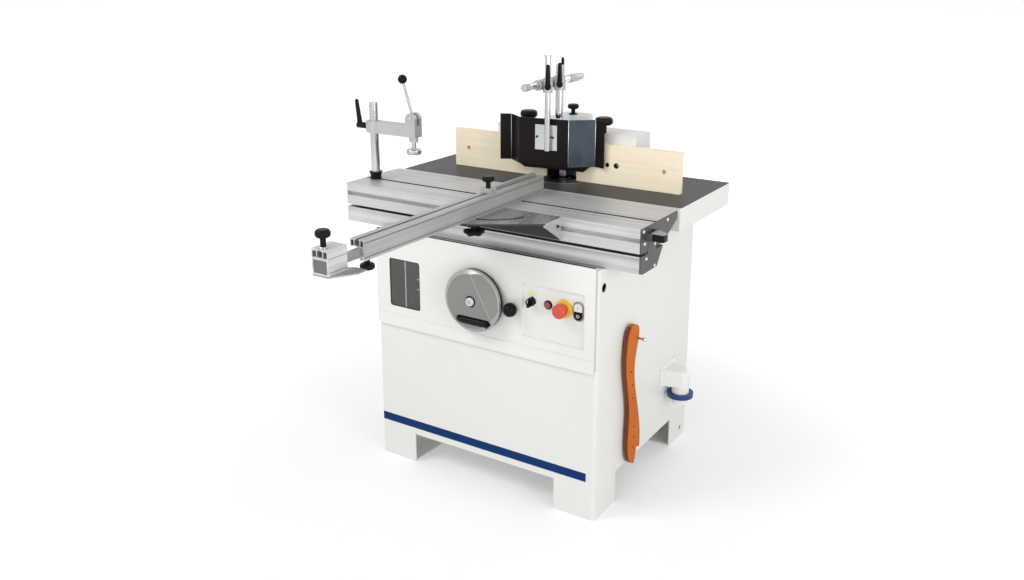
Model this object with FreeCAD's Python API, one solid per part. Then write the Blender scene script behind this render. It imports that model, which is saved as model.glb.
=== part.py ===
import FreeCAD, Part
import math
import os

from FreeCAD import Vector

# Spindle moulder with a sliding carriage, in millimetres.
# X runs to the right along the front, Y to the back, Z up from the floor.
# The pieces are modelled about the middle of the cabinet, then moved so that the
# origin lies on the floor under the middle of the whole machine.

# Clearances and cuts
overrun = 5.0
running_gap = 0.3
seat_gap = 0.3

# Cabinet
cabinet_width = 791.0
cabinet_depth = 675.0
sheet = 3.0
corner_radius = 12.0
leg_height = 100.0
leg_width = 136.0
leg_depth = 136.0
foot_thickness = 6.0
floor_bolt_radius = 7.0
lifting_hole_radius = 8.0
lifting_hole_height = 33.0
lifting_hole_inset = 46.0
cable_hole_radius = 13.5
cable_drop = 56.0
cable_hole_inset = 31.0
upper_front = -60.0
front_opening_margin = 30.0
door_opening_width = 500.0
door_rise = 60.0
door_drop = 71.0

# Table
table_height = 900.0
table_length = 1010.0
table_depth = 392.0
table_front = -50.0
table_plate = 22.0
table_apron = 70.0
table_wall = 16.0
table_corner = 6.0
rib_thickness = 14.0
rib_drop = 30.0

# Spindle place and table rings
spindle_x = 18.0
spindle_y = 124.0
outer_ring_radius = 92.0
inner_ring_radius = 66.0
ring_bore_radius = 46.0
ring_thickness = 10.0
ring_ledge = 12.0

# Carriage and its beam
carriage_length = 1028.0
carriage_centre = -12.0
carriage_clearance = 4.0
carriage_depth = 261.0
carriage_height = 69.0
slab_thickness = 22.0
slab_wall = 4.5
front_box_depth = 33.0
front_slot_height = 19.0
front_slot_depth = 15.0
front_slot_top = 23.0
front_slot_lip = 3.0
slope_web = 20.0
heel_depth = 33.0
top_slot_setback = 96.0
top_slot_mouth = 12.0
top_slot_width = 24.0
top_slot_neck = 5.0
top_slot_depth = 13.0
end_plate_thickness = 4.0
end_plate_setback = 24.0
beam_gap = 8.0
beam_height = 52.0
beam_wall = 4.0
beam_chamfer = 13.0
beam_chamfer_rise = 6.0
beam_slope = 38.0
rail_width = 54.0
rail_height = 39.0
rail_wall = 5.0
rail_room = 2.0
roller_track = 12.0
cage_length = 500.0
cage_strip = 3.0
cage_height = 30.0
roller_height = 16.0
roller_count = 7

# Carriage latch at the right-hand end
latch_reach = 38.0
latch_root_width = 46.0
latch_tip_width = 26.0
latch_thickness = 20.0
latch_round = 5.0
latch_setback = 26.0
latch_drop = 25.0
latch_pivot_radius = 4.0
latch_ear = 5.0

# Hold-down clamp
clamp_x = -488.0
clamp_collar_radius = 22.0
clamp_collar_height = 24.0
clamp_flare_share = 0.8
clamp_nut_height = 6.0
clamp_column_radius = 14.0
clamp_column_height = 249.0
clamp_arm_drop = 78.0
clamp_arm_height = 37.0
clamp_arm_width = 36.0
clamp_arm_reach = 160.0
clamp_hub_radius = 22.0
clamp_lug = 5.0
clamp_head_radius = 19.0
clamp_head_rise = 56.5
clamp_slot = 14.0
clamp_nose_radius = 14.0
clamp_nose_length = 16.0
plunger_radius = 7.0
pad_radius = 23.5
pad_height = 16.0
pad_gap = 22.5
cam_radius = 14.0
cam_room = 6.0
cam_width = 12.0
cam_pin_radius = 4.0
cam_lever_radius = 4.5
cam_lever_length = 127.0
cam_lever_lean = 17.7
ball_radius = 14.5

# Ratchet levers
lever_hub_radius = 10.0
lever_hub_length = 16.0
lever_length = 62.0
lever_root_radius = 8.5
lever_tip_radius = 6.0
lever_stud_radius = 6.0
lever_stud_length = 6.0
lever_angle = 30.0
arm_lever_length = 78.0
arm_lever_lean = 8.0
arm_lever_hub_length = 34.0

# Angle bracket
bracket_plate = 5.0
bracket_right = 262.0
bracket_left = -34.0
bracket_depth = 205.0
bracket_short_depth = 90.0
bracket_corner_x = 85.0
bracket_flange = 62.0
bracket_tip = 5.0
angle_slot_radius = 130.0
angle_slot_width = 12.0
angle_slot_start = -87.0
angle_slot_end = -17.0
angle_bolt_angle = -82.0
angle_bolt_radius = 5.0

# Mitre fence
fence_right = 72.0
fence_width = 43.0
fence_outer_end = -923.0
fence_inner_end = -94.0
fence_height = 51.5
fence_lift = 1.0
fence_top_depth = 19.0
fence_wall = 6.5
fence_skin = 2.5
fence_foot = 16.0
fence_foot_height = 5.0
fence_slot_mouth = 8.0
shoe_length = 190.0
shoe_front_overlap = 40.0
pivot_setback = 20.0
pivot_radius = 8.0
pivot_nut_radius = 13.0
pivot_nut_height = 12.0

# Fence strip, extension, end block and stop
strip_width = 12.0
strip_height = 6.0
strip_inset = 4.0
strip_start = -352.0
strip_block_length = 26.0
strip_block_height = 14.0
strip_block_width = 38.0
bar_width = 14.0
bar_height = 22.0
bar_gap = 0.5
bar_inner_end = -560.0
end_block_width = 50.0
end_block_height = 60.0
end_block_length = 65.0
end_block_gap = 55.0
end_block_wall = 4.0
end_block_drop = 6.0
end_block_deck = 20.0
stop_plate_thickness = 4.0
stop_plate_reach = 34.0
stop_plate_run = 92.0
stop_pin_radius = 4.0
end_knob_setback = 14.0
end_knob_length = 27.0
end_knob_height = 20.0

# Knobs: head radius, head height, stem radius, stem height
small_knob_head = 18.5
small_knob_height = 16.0
small_knob_stem = 7.0
small_knob_length = 18.0
large_knob_head = 28.5
large_knob_height = 25.0
large_knob_stem = 9.0
large_knob_length = 25.0
knob_round_share = 0.42
knob_screw_share = 0.55
star_knob_radius = 17.0
star_knob_height = 18.0
star_knob_lobe = 6.0
star_knob_lobe_count = 5

# Fence boards, hood and guard bracket
board_front = 100.0
board_thickness = 20.0
board_height = 129.0
board_lift = 0.5
left_board_end = -397.0
right_board_end = 435.0
spindle_gap = 121.0
board_bolt_radius = 7.0
board_hole_radius = 9.0
board_bolt_inset = 54.0
board_hole_inset = 215.0
board_hole_pitch = 31.0
hood_half_width = 256.0
hood_depth = 112.0
hood_height = 159.0
hood_sheet = 3.0
hood_mouth = 150.0
outlet_radius = 60.0
outlet_length = 44.0
outlet_height = 75.0
knob_spread = 139.0
knob_setback = 3.0
bracket_half_width = 48.0
bracket_front = 72.0
bracket_length = 156.0
bracket_height = 41.0
bracket_knob_setback = 110.0
bracket_slot_length = 40.0

# Guard and its carrier
post_setback = 18.0
post_radius = 13.0
post_length = 170.0
arm_radius = 10.5
arm_front = -80.0
arm_back = 280.0
arm_rise = 112.0
clamp_wall = 6.0
cross_clamp_height = 44.0
rod_ahead = 73.0
rod_radius = 9.5
rod_lift = 106.0
rod_length = 299.0
rod_cap_radius = 12.5
rod_cap_height = 4.0
rod_plate_width = 75.0
rod_plate_offset = -9.0
rod_plate_height = 80.0
rod_plate_thickness = 4.0
guard_offset = -19.0
guard_turn = 7.0
guard_face = 170.0
guard_left_facet = 50.0
guard_right_facet = 72.0
guard_fold_depth = 47.0
guard_flange_x = 34.0
guard_flange_y = 13.0
guard_sheet = 2.0
guard_lift = 55.0
guard_height = 150.0
skirt_setback = 42.0
skirt_height = 70.0
skirt_drop = 20.0
skirt_chamfer_left = 46.0
skirt_chamfer_right = 30.0
skirt_chamfer_rise = 25.0

# Control panel
panel_margin = 5.5
panel_lap = 7.0
panel_height = 312.0
panel_proud = 9.0
panel_sheet = 2.5
crease_rise = 39.0
crease_depth = 1.5
window_inset = 52.0
window_width = 119.0
window_drop = 88.0
window_height = 157.0
window_lap = 8.0
pane_thickness = 4.0
recess_inset = 34.0
recess_drop = 81.0
recess_height = 163.0
recess_depth = 6.0
controls_drop = 53.0
selector_share = 0.14
selector_radius = 12.0
selector_reach = 16.0
selector_bar = 7.0
selector_bar_reach = 9.0
selector_stem = 8.0
lamp_share = 0.41
lamp_radius = 10.0
lamp_reach = 6.0
estop_share = 0.673
estop_radius = 21.0
estop_head = 20.0
estop_neck = 13.0
estop_reach = 42.0
estop_ring_radius = 27.0
estop_ring_height = 5.0
push_share = 0.90
push_radius = 12.5
push_spread = 12.0
push_reach = 7.0
push_split = 1.0
control_depth = 24.0

# Handwheel
wheel_x = 0.0
wheel_radius = 94.0
wheel_back = 12.0
wheel_rim = 22.0
wheel_crown = 30.0
wheel_face_radius = 84.0
wheel_hub_radius = 12.5
wheel_hub_reach = 36.0
wheel_bore_dish = 10.0
wheel_facet_chord = 39.6
wheel_facet_angle = 12.0
wheel_facet_turn = 28.4
shaft_radius = 9.0
grip_length = 92.0
grip_radius = 9.0
grip_drop = 60.0
grip_pocket_side = 3.0
grip_pin_radius = 3.0
grip_right = 56.0
lock_gap = 32.0
lock_recess_gap = 28.0
lock_drop = 6.0
lock_ball_radius = 21.0
lock_stem_radius = 7.0
lock_ball_reach = 24.0
lock_stem_inside = 40.0

# Lift: guide columns, gear housing, leadscrew, quill carrier
column_spread = 95.0
column_y = 20.0
column_radius = 15.0
yoke_drop = 340.0
yoke_height = 30.0
yoke_depth = 46.0
yoke_margin = 24.0
gear_width = 70.0
gear_front = -26.0
gear_height = 64.0
screw_radius = 10.0
screw_length = 180.0
carrier_drop = 180.0
carrier_height = 100.0
carrier_depth = 50.0
carrier_left = -160.0
carrier_margin = 26.0
sleeve_radius = 52.0
sleeve_bore = 31.0
quill_drop = 66.0
quill_length = 174.0
hanger_width = 70.0
hanger_thickness = 12.0
motor_plate = 12.0
motor_plate_drop = 343.0
motor_plate_right = -60.0

# Motor, pulleys, belt, spindle
motor_x = -225.0
motor_radius = 88.0
motor_height = 230.0
motor_fin_count = 16
motor_fin_depth = 8.0
motor_fin_width = 5.0
terminal_box = 70.0
terminal_depth = 34.0
motor_shaft_radius = 12.0
pulley_drop = 326.0
pulley_step = 16.0
motor_pulley_radii = (60.0, 53.0, 46.0, 39.0)
spindle_pulley_radii = (36.0, 43.0, 50.0, 57.0)
belt_step_count = 2
belt_height = 12.0
belt_thickness = 7.0
spindle_radius = 20.0
bearing_radius = 30.7
bearing_height = 18.0
arbor_radius = 15.0
arbor_reach = 85.0
shoulder_drop = 32.0
spacer_radius = 26.0
spacer_drop = 3.0
spacer_groove = 2.0
spacer_count = 4
nut_radius = 22.0
nut_height = 18.0
nut_setback = 7.0

# Power inlet on the right-hand side
inlet_y = 170.0
inlet_width = 88.0
inlet_top = 307.0
inlet_bottom = 252.0
inlet_nose_radius = 29.0
inlet_round = 16.0
inlet_axis = 45.0
collar_radius = 42.0
collar_height = 14.0
collar_bore = 28.0
collar_drop = 26.0
sleeve_length = 60.0
inlet_sleeve_wall = 3.0
pin_radius = 2.5
pin_circle = 15.0
pin_count = 5

# Push stick and its hook
stick_stand_off = 8.0
stick_thickness = 12.0
stick_hole_radius = 4.5
stick_small_hole = 3.5
stick_length = 460.0
stick_width = 109.0
stick_hole_rise = 415.0
stick_hole_setback = 66.0
stick_outline_shares = ((0.68, 0), (0.40, 0.04), (0.24, 0.19), (0.27, 0.40), (0, 0.735), (0.02, 0.88),
                        (0.275, 1), (0.71, 0.97), (0.71, 0.89), (0.54, 0.75), (0.77, 0.43), (1, 0.09))
stick_notch_shares = (0.82, 0.105)
stick_hole_shares = ((0.33, 0.687), (0.413, 0.589), (0.495, 0.487), (0.615, 0.274), (0.615, 0.198),
                     (0.596, 0.122))
hook_y = -124.0
hook_z = 509.0
hook_radius = 3.7
hook_flange_radius = 9.0
hook_flange = 4.0
hook_ball_radius = 6.5
hook_over = 16.0

# Rear door
door_lap = 18.0
door_rim = 16.0
door_gap = 1.0
door_sheet = 2.0
hinge_radius = 6.0
hinge_pin_radius = 3.0
hinge_length = 60.0
hinge_inset_share = 0.15
latch_knob_radius = 20.0
latch_knob_reach = 18.0
latch_wing = 10.0
latch_shaft_radius = 7.0
latch_tongue = 34.0
latch_inset = 34.0

# Places that follow from the sizes above
half_width = cabinet_width / 2
half_depth = cabinet_depth / 2
table_back = table_front + table_depth
table_bottom = table_height - table_apron
carriage_back = table_front - carriage_clearance
carriage_front = carriage_back - carriage_depth
carriage_bottom = table_height - carriage_height
carriage_left = carriage_centre - carriage_length / 2
carriage_right = carriage_centre + carriage_length / 2
slot_y = carriage_front + top_slot_setback
beam_top = carriage_bottom - beam_gap
beam_bottom = beam_top - beam_height
shelf_height = beam_bottom
cable_hole_height = shelf_height - cable_drop
door_opening_bottom = leg_height + door_rise
door_opening_top = shelf_height - door_drop
panel_top = shelf_height + panel_lap
panel_bottom = panel_top - panel_height
crease_height = panel_bottom + crease_rise
window_top = panel_top - window_drop
window_bottom = window_top - window_height
recess_top = panel_top - recess_drop
recess_bottom = recess_top - recess_height
controls_height = recess_top - controls_drop
front_box_back = carriage_front + front_box_depth
rail_front = front_box_back + roller_track
rail_back = rail_front + rail_width
heel_front = rail_back + roller_track
heel_back = heel_front + heel_depth
panel_front = -half_depth - panel_proud
panel_half = half_width - panel_margin
window_left = -panel_half + window_inset
window_right = window_left + window_width
lock_knob_x = wheel_x + wheel_radius + lock_gap
recess_left = lock_knob_x + lock_recess_gap
recess_right = panel_half - recess_inset
recess_width = recess_right - recess_left
selector_x = recess_left + recess_width * selector_share
lamp_x = recess_left + recess_width * lamp_share
estop_x = recess_left + recess_width * estop_share
push_x = recess_left + recess_width * push_share
recess_floor = panel_front + recess_depth
fence_bottom = table_height + fence_lift
fence_top = fence_bottom + fence_height
fence_left = fence_right - fence_width
fence_middle = (fence_left + fence_right) / 2
pivot_y = carriage_front - pivot_setback
bracket_top = fence_bottom - running_gap
bracket_under = bracket_top - bracket_plate
angle_bolt_x = fence_middle + angle_slot_radius * math.cos(math.radians(angle_bolt_angle))
angle_bolt_y = pivot_y + angle_slot_radius * math.sin(math.radians(angle_bolt_angle))
bar_top = fence_top - fence_top_depth - bar_gap
bar_right = fence_right - fence_wall - bar_gap
end_block_back = fence_outer_end - end_block_gap
end_block_front = end_block_back - end_block_length
end_block_right = bar_right + end_block_wall
end_block_left = end_block_right - end_block_width
end_block_bottom = fence_bottom - end_block_drop
end_block_top = end_block_bottom + end_block_height
board_back = board_front + board_thickness
board_bottom = table_height + board_lift
hood_back = board_back + hood_depth
hood_bottom = table_height + seat_gap
hood_top = table_height + hood_height
left_gap_end = spindle_x - spindle_gap / 2
right_gap_end = spindle_x + spindle_gap / 2
bracket_deck = hood_top + bracket_height
post_x = spindle_x
post_y = bracket_front + post_setback
arm_height = bracket_deck + arm_rise
arm_x = post_x - post_radius - clamp_wall / 2 - arm_radius
rod_x = post_x
rod_y = post_y - rod_ahead
rod_bottom = table_height + rod_lift
rod_top = rod_bottom + rod_length
guard_face_y = rod_radius + rod_plate_thickness
guard_fold_y = guard_face_y + guard_fold_depth
guard_left = guard_offset - guard_face / 2
guard_right = guard_offset + guard_face / 2
guard_bottom = table_height + guard_lift
clamp_arm_top = table_height + clamp_column_height - clamp_arm_drop + clamp_arm_height / 2
clamp_arm_bottom = clamp_arm_top - clamp_arm_height
clamp_head_x = clamp_x + clamp_arm_reach
clamp_head_top = clamp_arm_bottom + clamp_head_rise
cam_height = clamp_head_top
cam_tip_height = cam_height - cam_radius - cam_room
pad_top = clamp_arm_bottom - clamp_nose_length - pad_gap
yoke_bottom = table_height - yoke_drop
gear_bottom = yoke_bottom + yoke_height
gear_top = gear_bottom + gear_height
wheel_back_y = panel_front - wheel_back
wheel_height = gear_bottom + gear_height / 2
lock_knob_height = wheel_height - lock_drop
carrier_bottom = table_height - carrier_drop
sleeve_top = table_height - quill_drop
sleeve_bottom = sleeve_top - quill_length
motor_plate_top = table_height - motor_plate_drop
pulley_bottom = table_height - pulley_drop
arbor_top = table_height + arbor_reach
arbor_shoulder = table_height - shoulder_drop
spacer_top = table_height - spacer_drop
arbor_nut_top = arbor_top - nut_setback
arbor_nut_bottom = arbor_nut_top - nut_height
pulley_height = pulley_step * len(motor_pulley_radii)
pulley_top = pulley_bottom + pulley_height
hook_end = half_width + 2 * stick_stand_off + stick_thickness + hook_over


# Simple solids
def block(x0, x1, y0, y1, z0, z1):
    return Part.makeBox(x1 - x0, y1 - y0, z1 - z0, Vector(x0, y0, z0))


def rod(radius, start, end):
    run = end - start
    return Part.makeCylinder(radius, run.Length, start, run)


def upright(radius, x, y, z0, z1):
    return rod(radius, Vector(x, y, z0), Vector(x, y, z1))


def upright_tube(outer, inner, x, y, z0, z1):
    bore = upright(inner, x, y, z0 - overrun, z1 + overrun)
    return upright(outer, x, y, z0, z1).cut(bore)


def prism(points, run):
    face = Part.Face(Part.makePolygon(points + points[:1]))
    return face.extrude(run)


def section_x(points, x0, x1):
    return prism([Vector(x0, y, z) for y, z in points], Vector(x1 - x0, 0, 0))


def section_y(points, y0, y1):
    return prism([Vector(x, y0, z) for x, z in points], Vector(0, y1 - y0, 0))


def section_z(points, z0, z1):
    return prism([Vector(x, y, z0) for x, y in points], Vector(0, 0, z1 - z0))


def soften(shape, radius, direction, wanted=None):
    chosen = []
    for edge in shape.Edges:
        if len(edge.Vertexes) != 2 or not isinstance(edge.Curve, Part.Line):
            continue
        along = abs(edge.tangentAt(edge.FirstParameter).dot(direction))
        if along > 1 - 1e-6 and (wanted is None or wanted(edge.CenterOfMass)):
            chosen.append(edge)
    return shape.makeFillet(radius, chosen)


def upright_block(x0, x1, y0, y1, z0, z1, radius):
    return soften(block(x0, x1, y0, y1, z0, z1), radius, Vector(0, 0, 1))


def turned(profile, foot, axis):
    points = [Vector(r, 0, h) for r, h in profile]
    face = Part.Face(Part.makePolygon(points + points[:1]))
    solid = face.revolve(Vector(0, 0, 0), Vector(0, 0, 1), 360)
    solid.Placement = FreeCAD.Placement(foot, FreeCAD.Rotation(Vector(0, 0, 1), axis))
    return solid


def united(solids):
    whole = solids[0]
    for solid in solids[1:]:
        whole = whole.fuse(solid)
    return whole.removeSplitter()


def folded_sheet(points, thickness, z0, z1):
    # The path is a fold line seen from above, the sheet lies to its left.
    normals = []
    for (ax, ay), (bx, by) in zip(points, points[1:]):
        length = math.hypot(bx - ax, by - ay)
        normals.append((-(by - ay) / length, (bx - ax) / length))
    inner = []
    for i, (x, y) in enumerate(points):
        before = normals[max(i - 1, 0)]
        after = normals[min(i, len(normals) - 1)]
        mx, my = before[0] + after[0], before[1] + after[1]
        reach = 2 * thickness / (mx * mx + my * my)
        inner.append((x + mx * reach, y + my * reach))
    return section_z(points + inner[::-1], z0, z1)


# Knobs and levers
def mushroom_knob(head, height, stem, length, foot, axis):
    round_over = height * knob_round_share
    cap = Part.makeCylinder(head, height)
    cap = cap.makeFillet(round_over, [e for e in cap.Edges if isinstance(e.Curve, Part.Circle)])
    cap.translate(Vector(0, 0, length))
    neck = Part.makeCylinder(stem, length + height / 2)
    screw_length = length * knob_screw_share
    screw = Part.makeCylinder(stem * knob_screw_share, screw_length, Vector(0, 0, -screw_length))
    knob = united([cap, neck, screw])
    knob.Placement = FreeCAD.Placement(foot, FreeCAD.Rotation(Vector(0, 0, 1), axis))
    return knob


def ratchet_lever(hub_length, length, foot, axis, up):
    # A hub on a stud with a tapered handle that stands across the hub's axis.
    stud_end = foot + axis * lever_stud_length
    hub_end = stud_end + axis * hub_length
    root = stud_end + axis * (hub_length - lever_root_radius)
    tip = root + up * length
    stud = rod(lever_stud_radius, foot, stud_end)
    hub = rod(lever_hub_radius, stud_end, hub_end)
    handle = Part.makeCone(lever_root_radius, lever_tip_radius, length, root, up)
    return united([stud, hub, handle, Part.makeSphere(lever_tip_radius, tip)])


def star_knob(foot, axis):
    core = Part.makeCylinder(star_knob_radius, star_knob_height)
    for i in range(star_knob_lobe_count):
        turn = 2 * math.pi * i / star_knob_lobe_count
        place = Vector(star_knob_radius * math.cos(turn), star_knob_radius * math.sin(turn), -overrun)
        core = core.cut(Part.makeCylinder(star_knob_lobe, star_knob_height + 2 * overrun, place))
    core.Placement = FreeCAD.Placement(foot, FreeCAD.Rotation(Vector(0, 0, 1), axis))
    return core


# Cabinet, control panel and door
def cabinet():
    body = upright_block(-half_width, half_width, -half_depth, half_depth, 0, shelf_height,
                         corner_radius)
    upper = block(-half_width, half_width, upper_front, half_depth, shelf_height, table_bottom)
    upper = soften(upper, corner_radius, Vector(0, 0, 1), lambda p: p.y > 0)
    inner_radius = corner_radius - sheet
    x0, x1 = -half_width + sheet, half_width - sheet
    y0, y1 = -half_depth + sheet, half_depth - sheet
    hollow = upright_block(x0, x1, y0, y1, leg_height + sheet, shelf_height - sheet, inner_radius)
    well = block(x0, x1, upper_front + sheet, y1, shelf_height - 2 * sheet, table_bottom + overrun)
    well = soften(well, inner_radius, Vector(0, 0, 1), lambda p: p.y > 0)
    under = upright_block(x0, x1, y0, y1, -overrun, leg_height, inner_radius)
    body = body.fuse(upper).cut(hollow).cut(well).cut(under)
    body = body.fuse(cabinet_feet(x0, x1, y0, y1, inner_radius))
    side_gap = block(-half_width - overrun, half_width + overrun, -half_depth + leg_depth,
                     half_depth - leg_depth, -overrun, leg_height)
    front_gap = block(-half_width + leg_width, half_width - leg_width, -half_depth - overrun,
                      half_depth + overrun, -overrun, leg_height)
    body = body.cut(side_gap).cut(front_gap)
    return body.cut(cabinet_holes()).removeSplitter()


def cabinet_feet(x0, x1, y0, y1, radius):
    plate = upright_block(x0, x1, y0, y1, 0, foot_thickness, radius)
    for x in (-1, 1):
        for y in (-1, 1):
            bolt_x = x * (half_width - leg_width / 2)
            bolt_y = y * (half_depth - leg_depth / 2)
            plate = plate.cut(upright(floor_bolt_radius, bolt_x, bolt_y, -overrun,
                                      foot_thickness + overrun))
    return plate


def cabinet_holes():
    margin = front_opening_margin
    front = block(-panel_half + margin, panel_half - margin, -half_depth - overrun,
                  -half_depth + sheet + overrun, panel_bottom + margin, shelf_height - margin)
    door = block(-door_opening_width / 2, door_opening_width / 2, half_depth - sheet - overrun,
                 half_depth + overrun, door_opening_bottom, door_opening_top)
    cable_y = -half_depth + cable_hole_inset
    cable = rod(cable_hole_radius, Vector(half_width - sheet - overrun, cable_y, cable_hole_height),
                Vector(half_width + overrun, cable_y, cable_hole_height))
    lift_y = half_depth - lifting_hole_inset
    lifting = rod(lifting_hole_radius, Vector(-half_width - overrun, lift_y, lifting_hole_height),
                  Vector(half_width + overrun, lift_y, lifting_hole_height))
    return front.fuse([door, cable, lifting])


def stadium(x, z_low, z_high, radius, y0, y1):
    low = rod(radius, Vector(x, y0, z_low), Vector(x, y1, z_low))
    high = rod(radius, Vector(x, y0, z_high), Vector(x, y1, z_high))
    return united([low, high, block(x - radius, x + radius, y0, y1, z_low, z_high)])


def panel_hole(x, z, radius):
    return rod(radius, Vector(x, panel_front - overrun, z), Vector(x, -half_depth + overrun, z))


def control_panel():
    edge = panel_half
    panel = block(-edge, edge, panel_front, -half_depth, panel_bottom, panel_top)
    panel = soften(panel, corner_radius, Vector(0, 1, 0), lambda p: p.z < crease_height)
    back = block(-edge + panel_sheet, edge - panel_sheet, panel_front + panel_sheet,
                 -half_depth + overrun, panel_bottom + panel_sheet, panel_top - panel_sheet)
    back = soften(back, corner_radius - panel_sheet, Vector(0, 1, 0), lambda p: p.z < crease_height)
    tray = block(recess_left - panel_sheet, recess_right + panel_sheet, panel_front + panel_sheet,
                 -half_depth, recess_bottom - panel_sheet, recess_top + panel_sheet)
    pocket = block(recess_left, recess_right, panel_front - overrun, recess_floor, recess_bottom,
                   recess_top)
    window = block(window_left, window_right, panel_front - overrun, -half_depth, window_bottom,
                   window_top)
    crease = section_x([(panel_front - crease_depth, crease_height - 2 * crease_depth),
                        (panel_front + crease_depth, crease_height),
                        (panel_front - crease_depth, crease_height + 2 * crease_depth)], -edge, edge)
    panel = panel.cut(back).fuse(tray).cut(pocket).cut(window).cut(crease).fuse(estop_ring())
    holes = [panel_hole(wheel_x, wheel_height, shaft_radius + running_gap),
             panel_hole(lock_knob_x, lock_knob_height, lock_stem_radius + running_gap),
             panel_hole(selector_x, controls_height, selector_stem + running_gap),
             panel_hole(lamp_x, controls_height, lamp_radius + running_gap),
             panel_hole(estop_x, controls_height, estop_neck + running_gap),
             stadium(push_x, controls_height - push_spread, controls_height + push_spread,
                     push_radius + running_gap, panel_front - overrun, -half_depth + overrun)]
    return panel.cut(holes).removeSplitter()


def speed_window():
    y0 = panel_front + panel_sheet
    return block(window_left - window_lap, window_right + window_lap, y0, y0 + pane_thickness,
                 window_bottom - window_lap, window_top + window_lap)


def door_axis():
    return Vector(door_opening_width / 2 + door_lap + hinge_radius, half_depth + hinge_radius + door_gap,
                  0)


def hinge_barrels(first):
    # Each hinge has a lower barrel on one leaf and an upper barrel on the other.
    axis = door_axis()
    span = door_opening_top - door_opening_bottom
    spots = []
    for share in (hinge_inset_share, 1 - hinge_inset_share):
        low = door_opening_bottom + span * share - hinge_length / 2
        middle = low + hinge_length / 2
        ends = (low, middle - seat_gap) if first else (middle, low + hinge_length)
        spots.append((axis, ends))
    return spots


def door_hinges():
    solids = []
    for axis, (low, high) in hinge_barrels(True):
        barrel = upright(hinge_radius, axis.x, axis.y, low, high)
        leaf = block(axis.x, axis.x + 2 * hinge_radius, half_depth, half_depth + hinge_radius, low, high)
        pin = upright(hinge_pin_radius, axis.x, axis.y, low, low + hinge_length)
        solids.append(united([barrel, leaf, pin]))
    return solids


def rear_door():
    edge = door_opening_width / 2 + door_lap
    low, high = door_opening_bottom - door_lap, door_opening_top + door_lap
    y0 = half_depth + door_gap
    door = block(-edge, edge, y0, y0 + door_rim, low, high)
    door = soften(door, door_sheet, Vector(0, 0, 1), lambda p: p.y > y0 + door_sheet and p.x < 0)
    hollow = block(-edge + door_sheet, edge - door_sheet, y0 - overrun, y0 + door_rim - door_sheet,
                   low + door_sheet, high - door_sheet)
    door = door.cut(hollow)
    for axis, (foot, head) in hinge_barrels(False):
        barrel = upright_tube(hinge_radius, hinge_pin_radius + running_gap, axis.x, axis.y, foot, head)
        room = upright(hinge_radius + running_gap, axis.x, axis.y, foot - hinge_length / 2 - seat_gap,
                       foot)
        leaf = block(edge - hinge_radius, axis.x - hinge_pin_radius - running_gap, y0, axis.y, foot,
                     head)
        door = door.cut(room).fuse(leaf).fuse(barrel)
    latch = rod(latch_shaft_radius + running_gap, latch_foot() - Vector(0, door_rim, 0), latch_foot())
    return door.cut(latch).removeSplitter()


def latch_foot():
    middle = (door_opening_bottom + door_opening_top) / 2
    return Vector(-door_opening_width / 2 + latch_inset, half_depth + door_gap + door_rim, middle)


def door_latch():
    # A quarter turn swings the upright tongue behind the edge of the door opening.
    foot = latch_foot() + Vector(0, seat_gap, 0)
    head = foot + Vector(0, latch_knob_reach, 0)
    inside = Vector(foot.x, half_depth - sheet - door_gap - latch_wing, foot.z)
    knob = rod(latch_knob_radius, foot, foot + Vector(0, latch_wing / 2, 0))
    wing = block(foot.x - latch_wing / 2, foot.x + latch_wing / 2, foot.y, head.y,
                 foot.z - latch_knob_radius, foot.z + latch_knob_radius)
    shaft = rod(latch_shaft_radius, inside, foot)
    tongue = block(foot.x - latch_shaft_radius, foot.x + latch_shaft_radius, inside.y,
                   inside.y + latch_wing / 2, foot.z - latch_shaft_radius,
                   foot.z + latch_inset + latch_tongue / 2)
    return united([knob, wing, shaft, tongue])


# Controls on the panel
def selector_switch():
    stem = rod(selector_stem, Vector(selector_x, recess_floor + control_depth, controls_height),
               Vector(selector_x, recess_floor, controls_height))
    face = recess_floor - seat_gap
    knob = rod(selector_radius, Vector(selector_x, face, controls_height),
               Vector(selector_x, face - selector_reach, controls_height))
    bar = block(selector_x - selector_bar / 2, selector_x + selector_bar / 2,
                face - selector_reach - selector_bar_reach, face, controls_height - selector_radius,
                controls_height + selector_radius)
    return united([stem.fuse(rod(selector_stem, Vector(selector_x, recess_floor, controls_height),
                                 Vector(selector_x, face, controls_height))), knob, bar])


def lamp_button():
    return rod(lamp_radius, Vector(lamp_x, recess_floor - lamp_reach, controls_height),
               Vector(lamp_x, recess_floor + control_depth, controls_height))


def estop_ring():
    return rod(estop_ring_radius, Vector(estop_x, recess_floor - estop_ring_height, controls_height),
               Vector(estop_x, recess_floor, controls_height))


def estop_button():
    front = recess_floor - estop_reach
    middle = front + estop_head / 2
    neck = rod(estop_neck, Vector(estop_x, recess_floor + control_depth, controls_height),
               Vector(estop_x, middle, controls_height))
    head = rod(estop_radius, Vector(estop_x, front + estop_head, controls_height),
               Vector(estop_x, front, controls_height))
    rims = [e for e in head.Edges if isinstance(e.Curve, Part.Circle) and e.CenterOfMass.y < middle]
    return united([head.makeFillet(estop_head * knob_round_share, rims), neck])


def push_button(upper):
    whole = stadium(push_x, controls_height - push_spread, controls_height + push_spread, push_radius,
                    recess_floor - push_reach, recess_floor + control_depth)
    edge = controls_height + (push_split / 2 if upper else -push_split / 2)
    limits = (edge, controls_height + cabinet_width) if upper else (controls_height - cabinet_width,
                                                                    edge)
    keep = block(push_x - cabinet_width, push_x + cabinet_width, panel_front - cabinet_depth,
                 panel_front + cabinet_depth, *limits)
    return whole.common(keep)


# Handwheel, lock knob and lift
def grip_pivot():
    return Vector(wheel_x + grip_right, wheel_back_y - wheel_crown, wheel_height - grip_drop)


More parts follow.
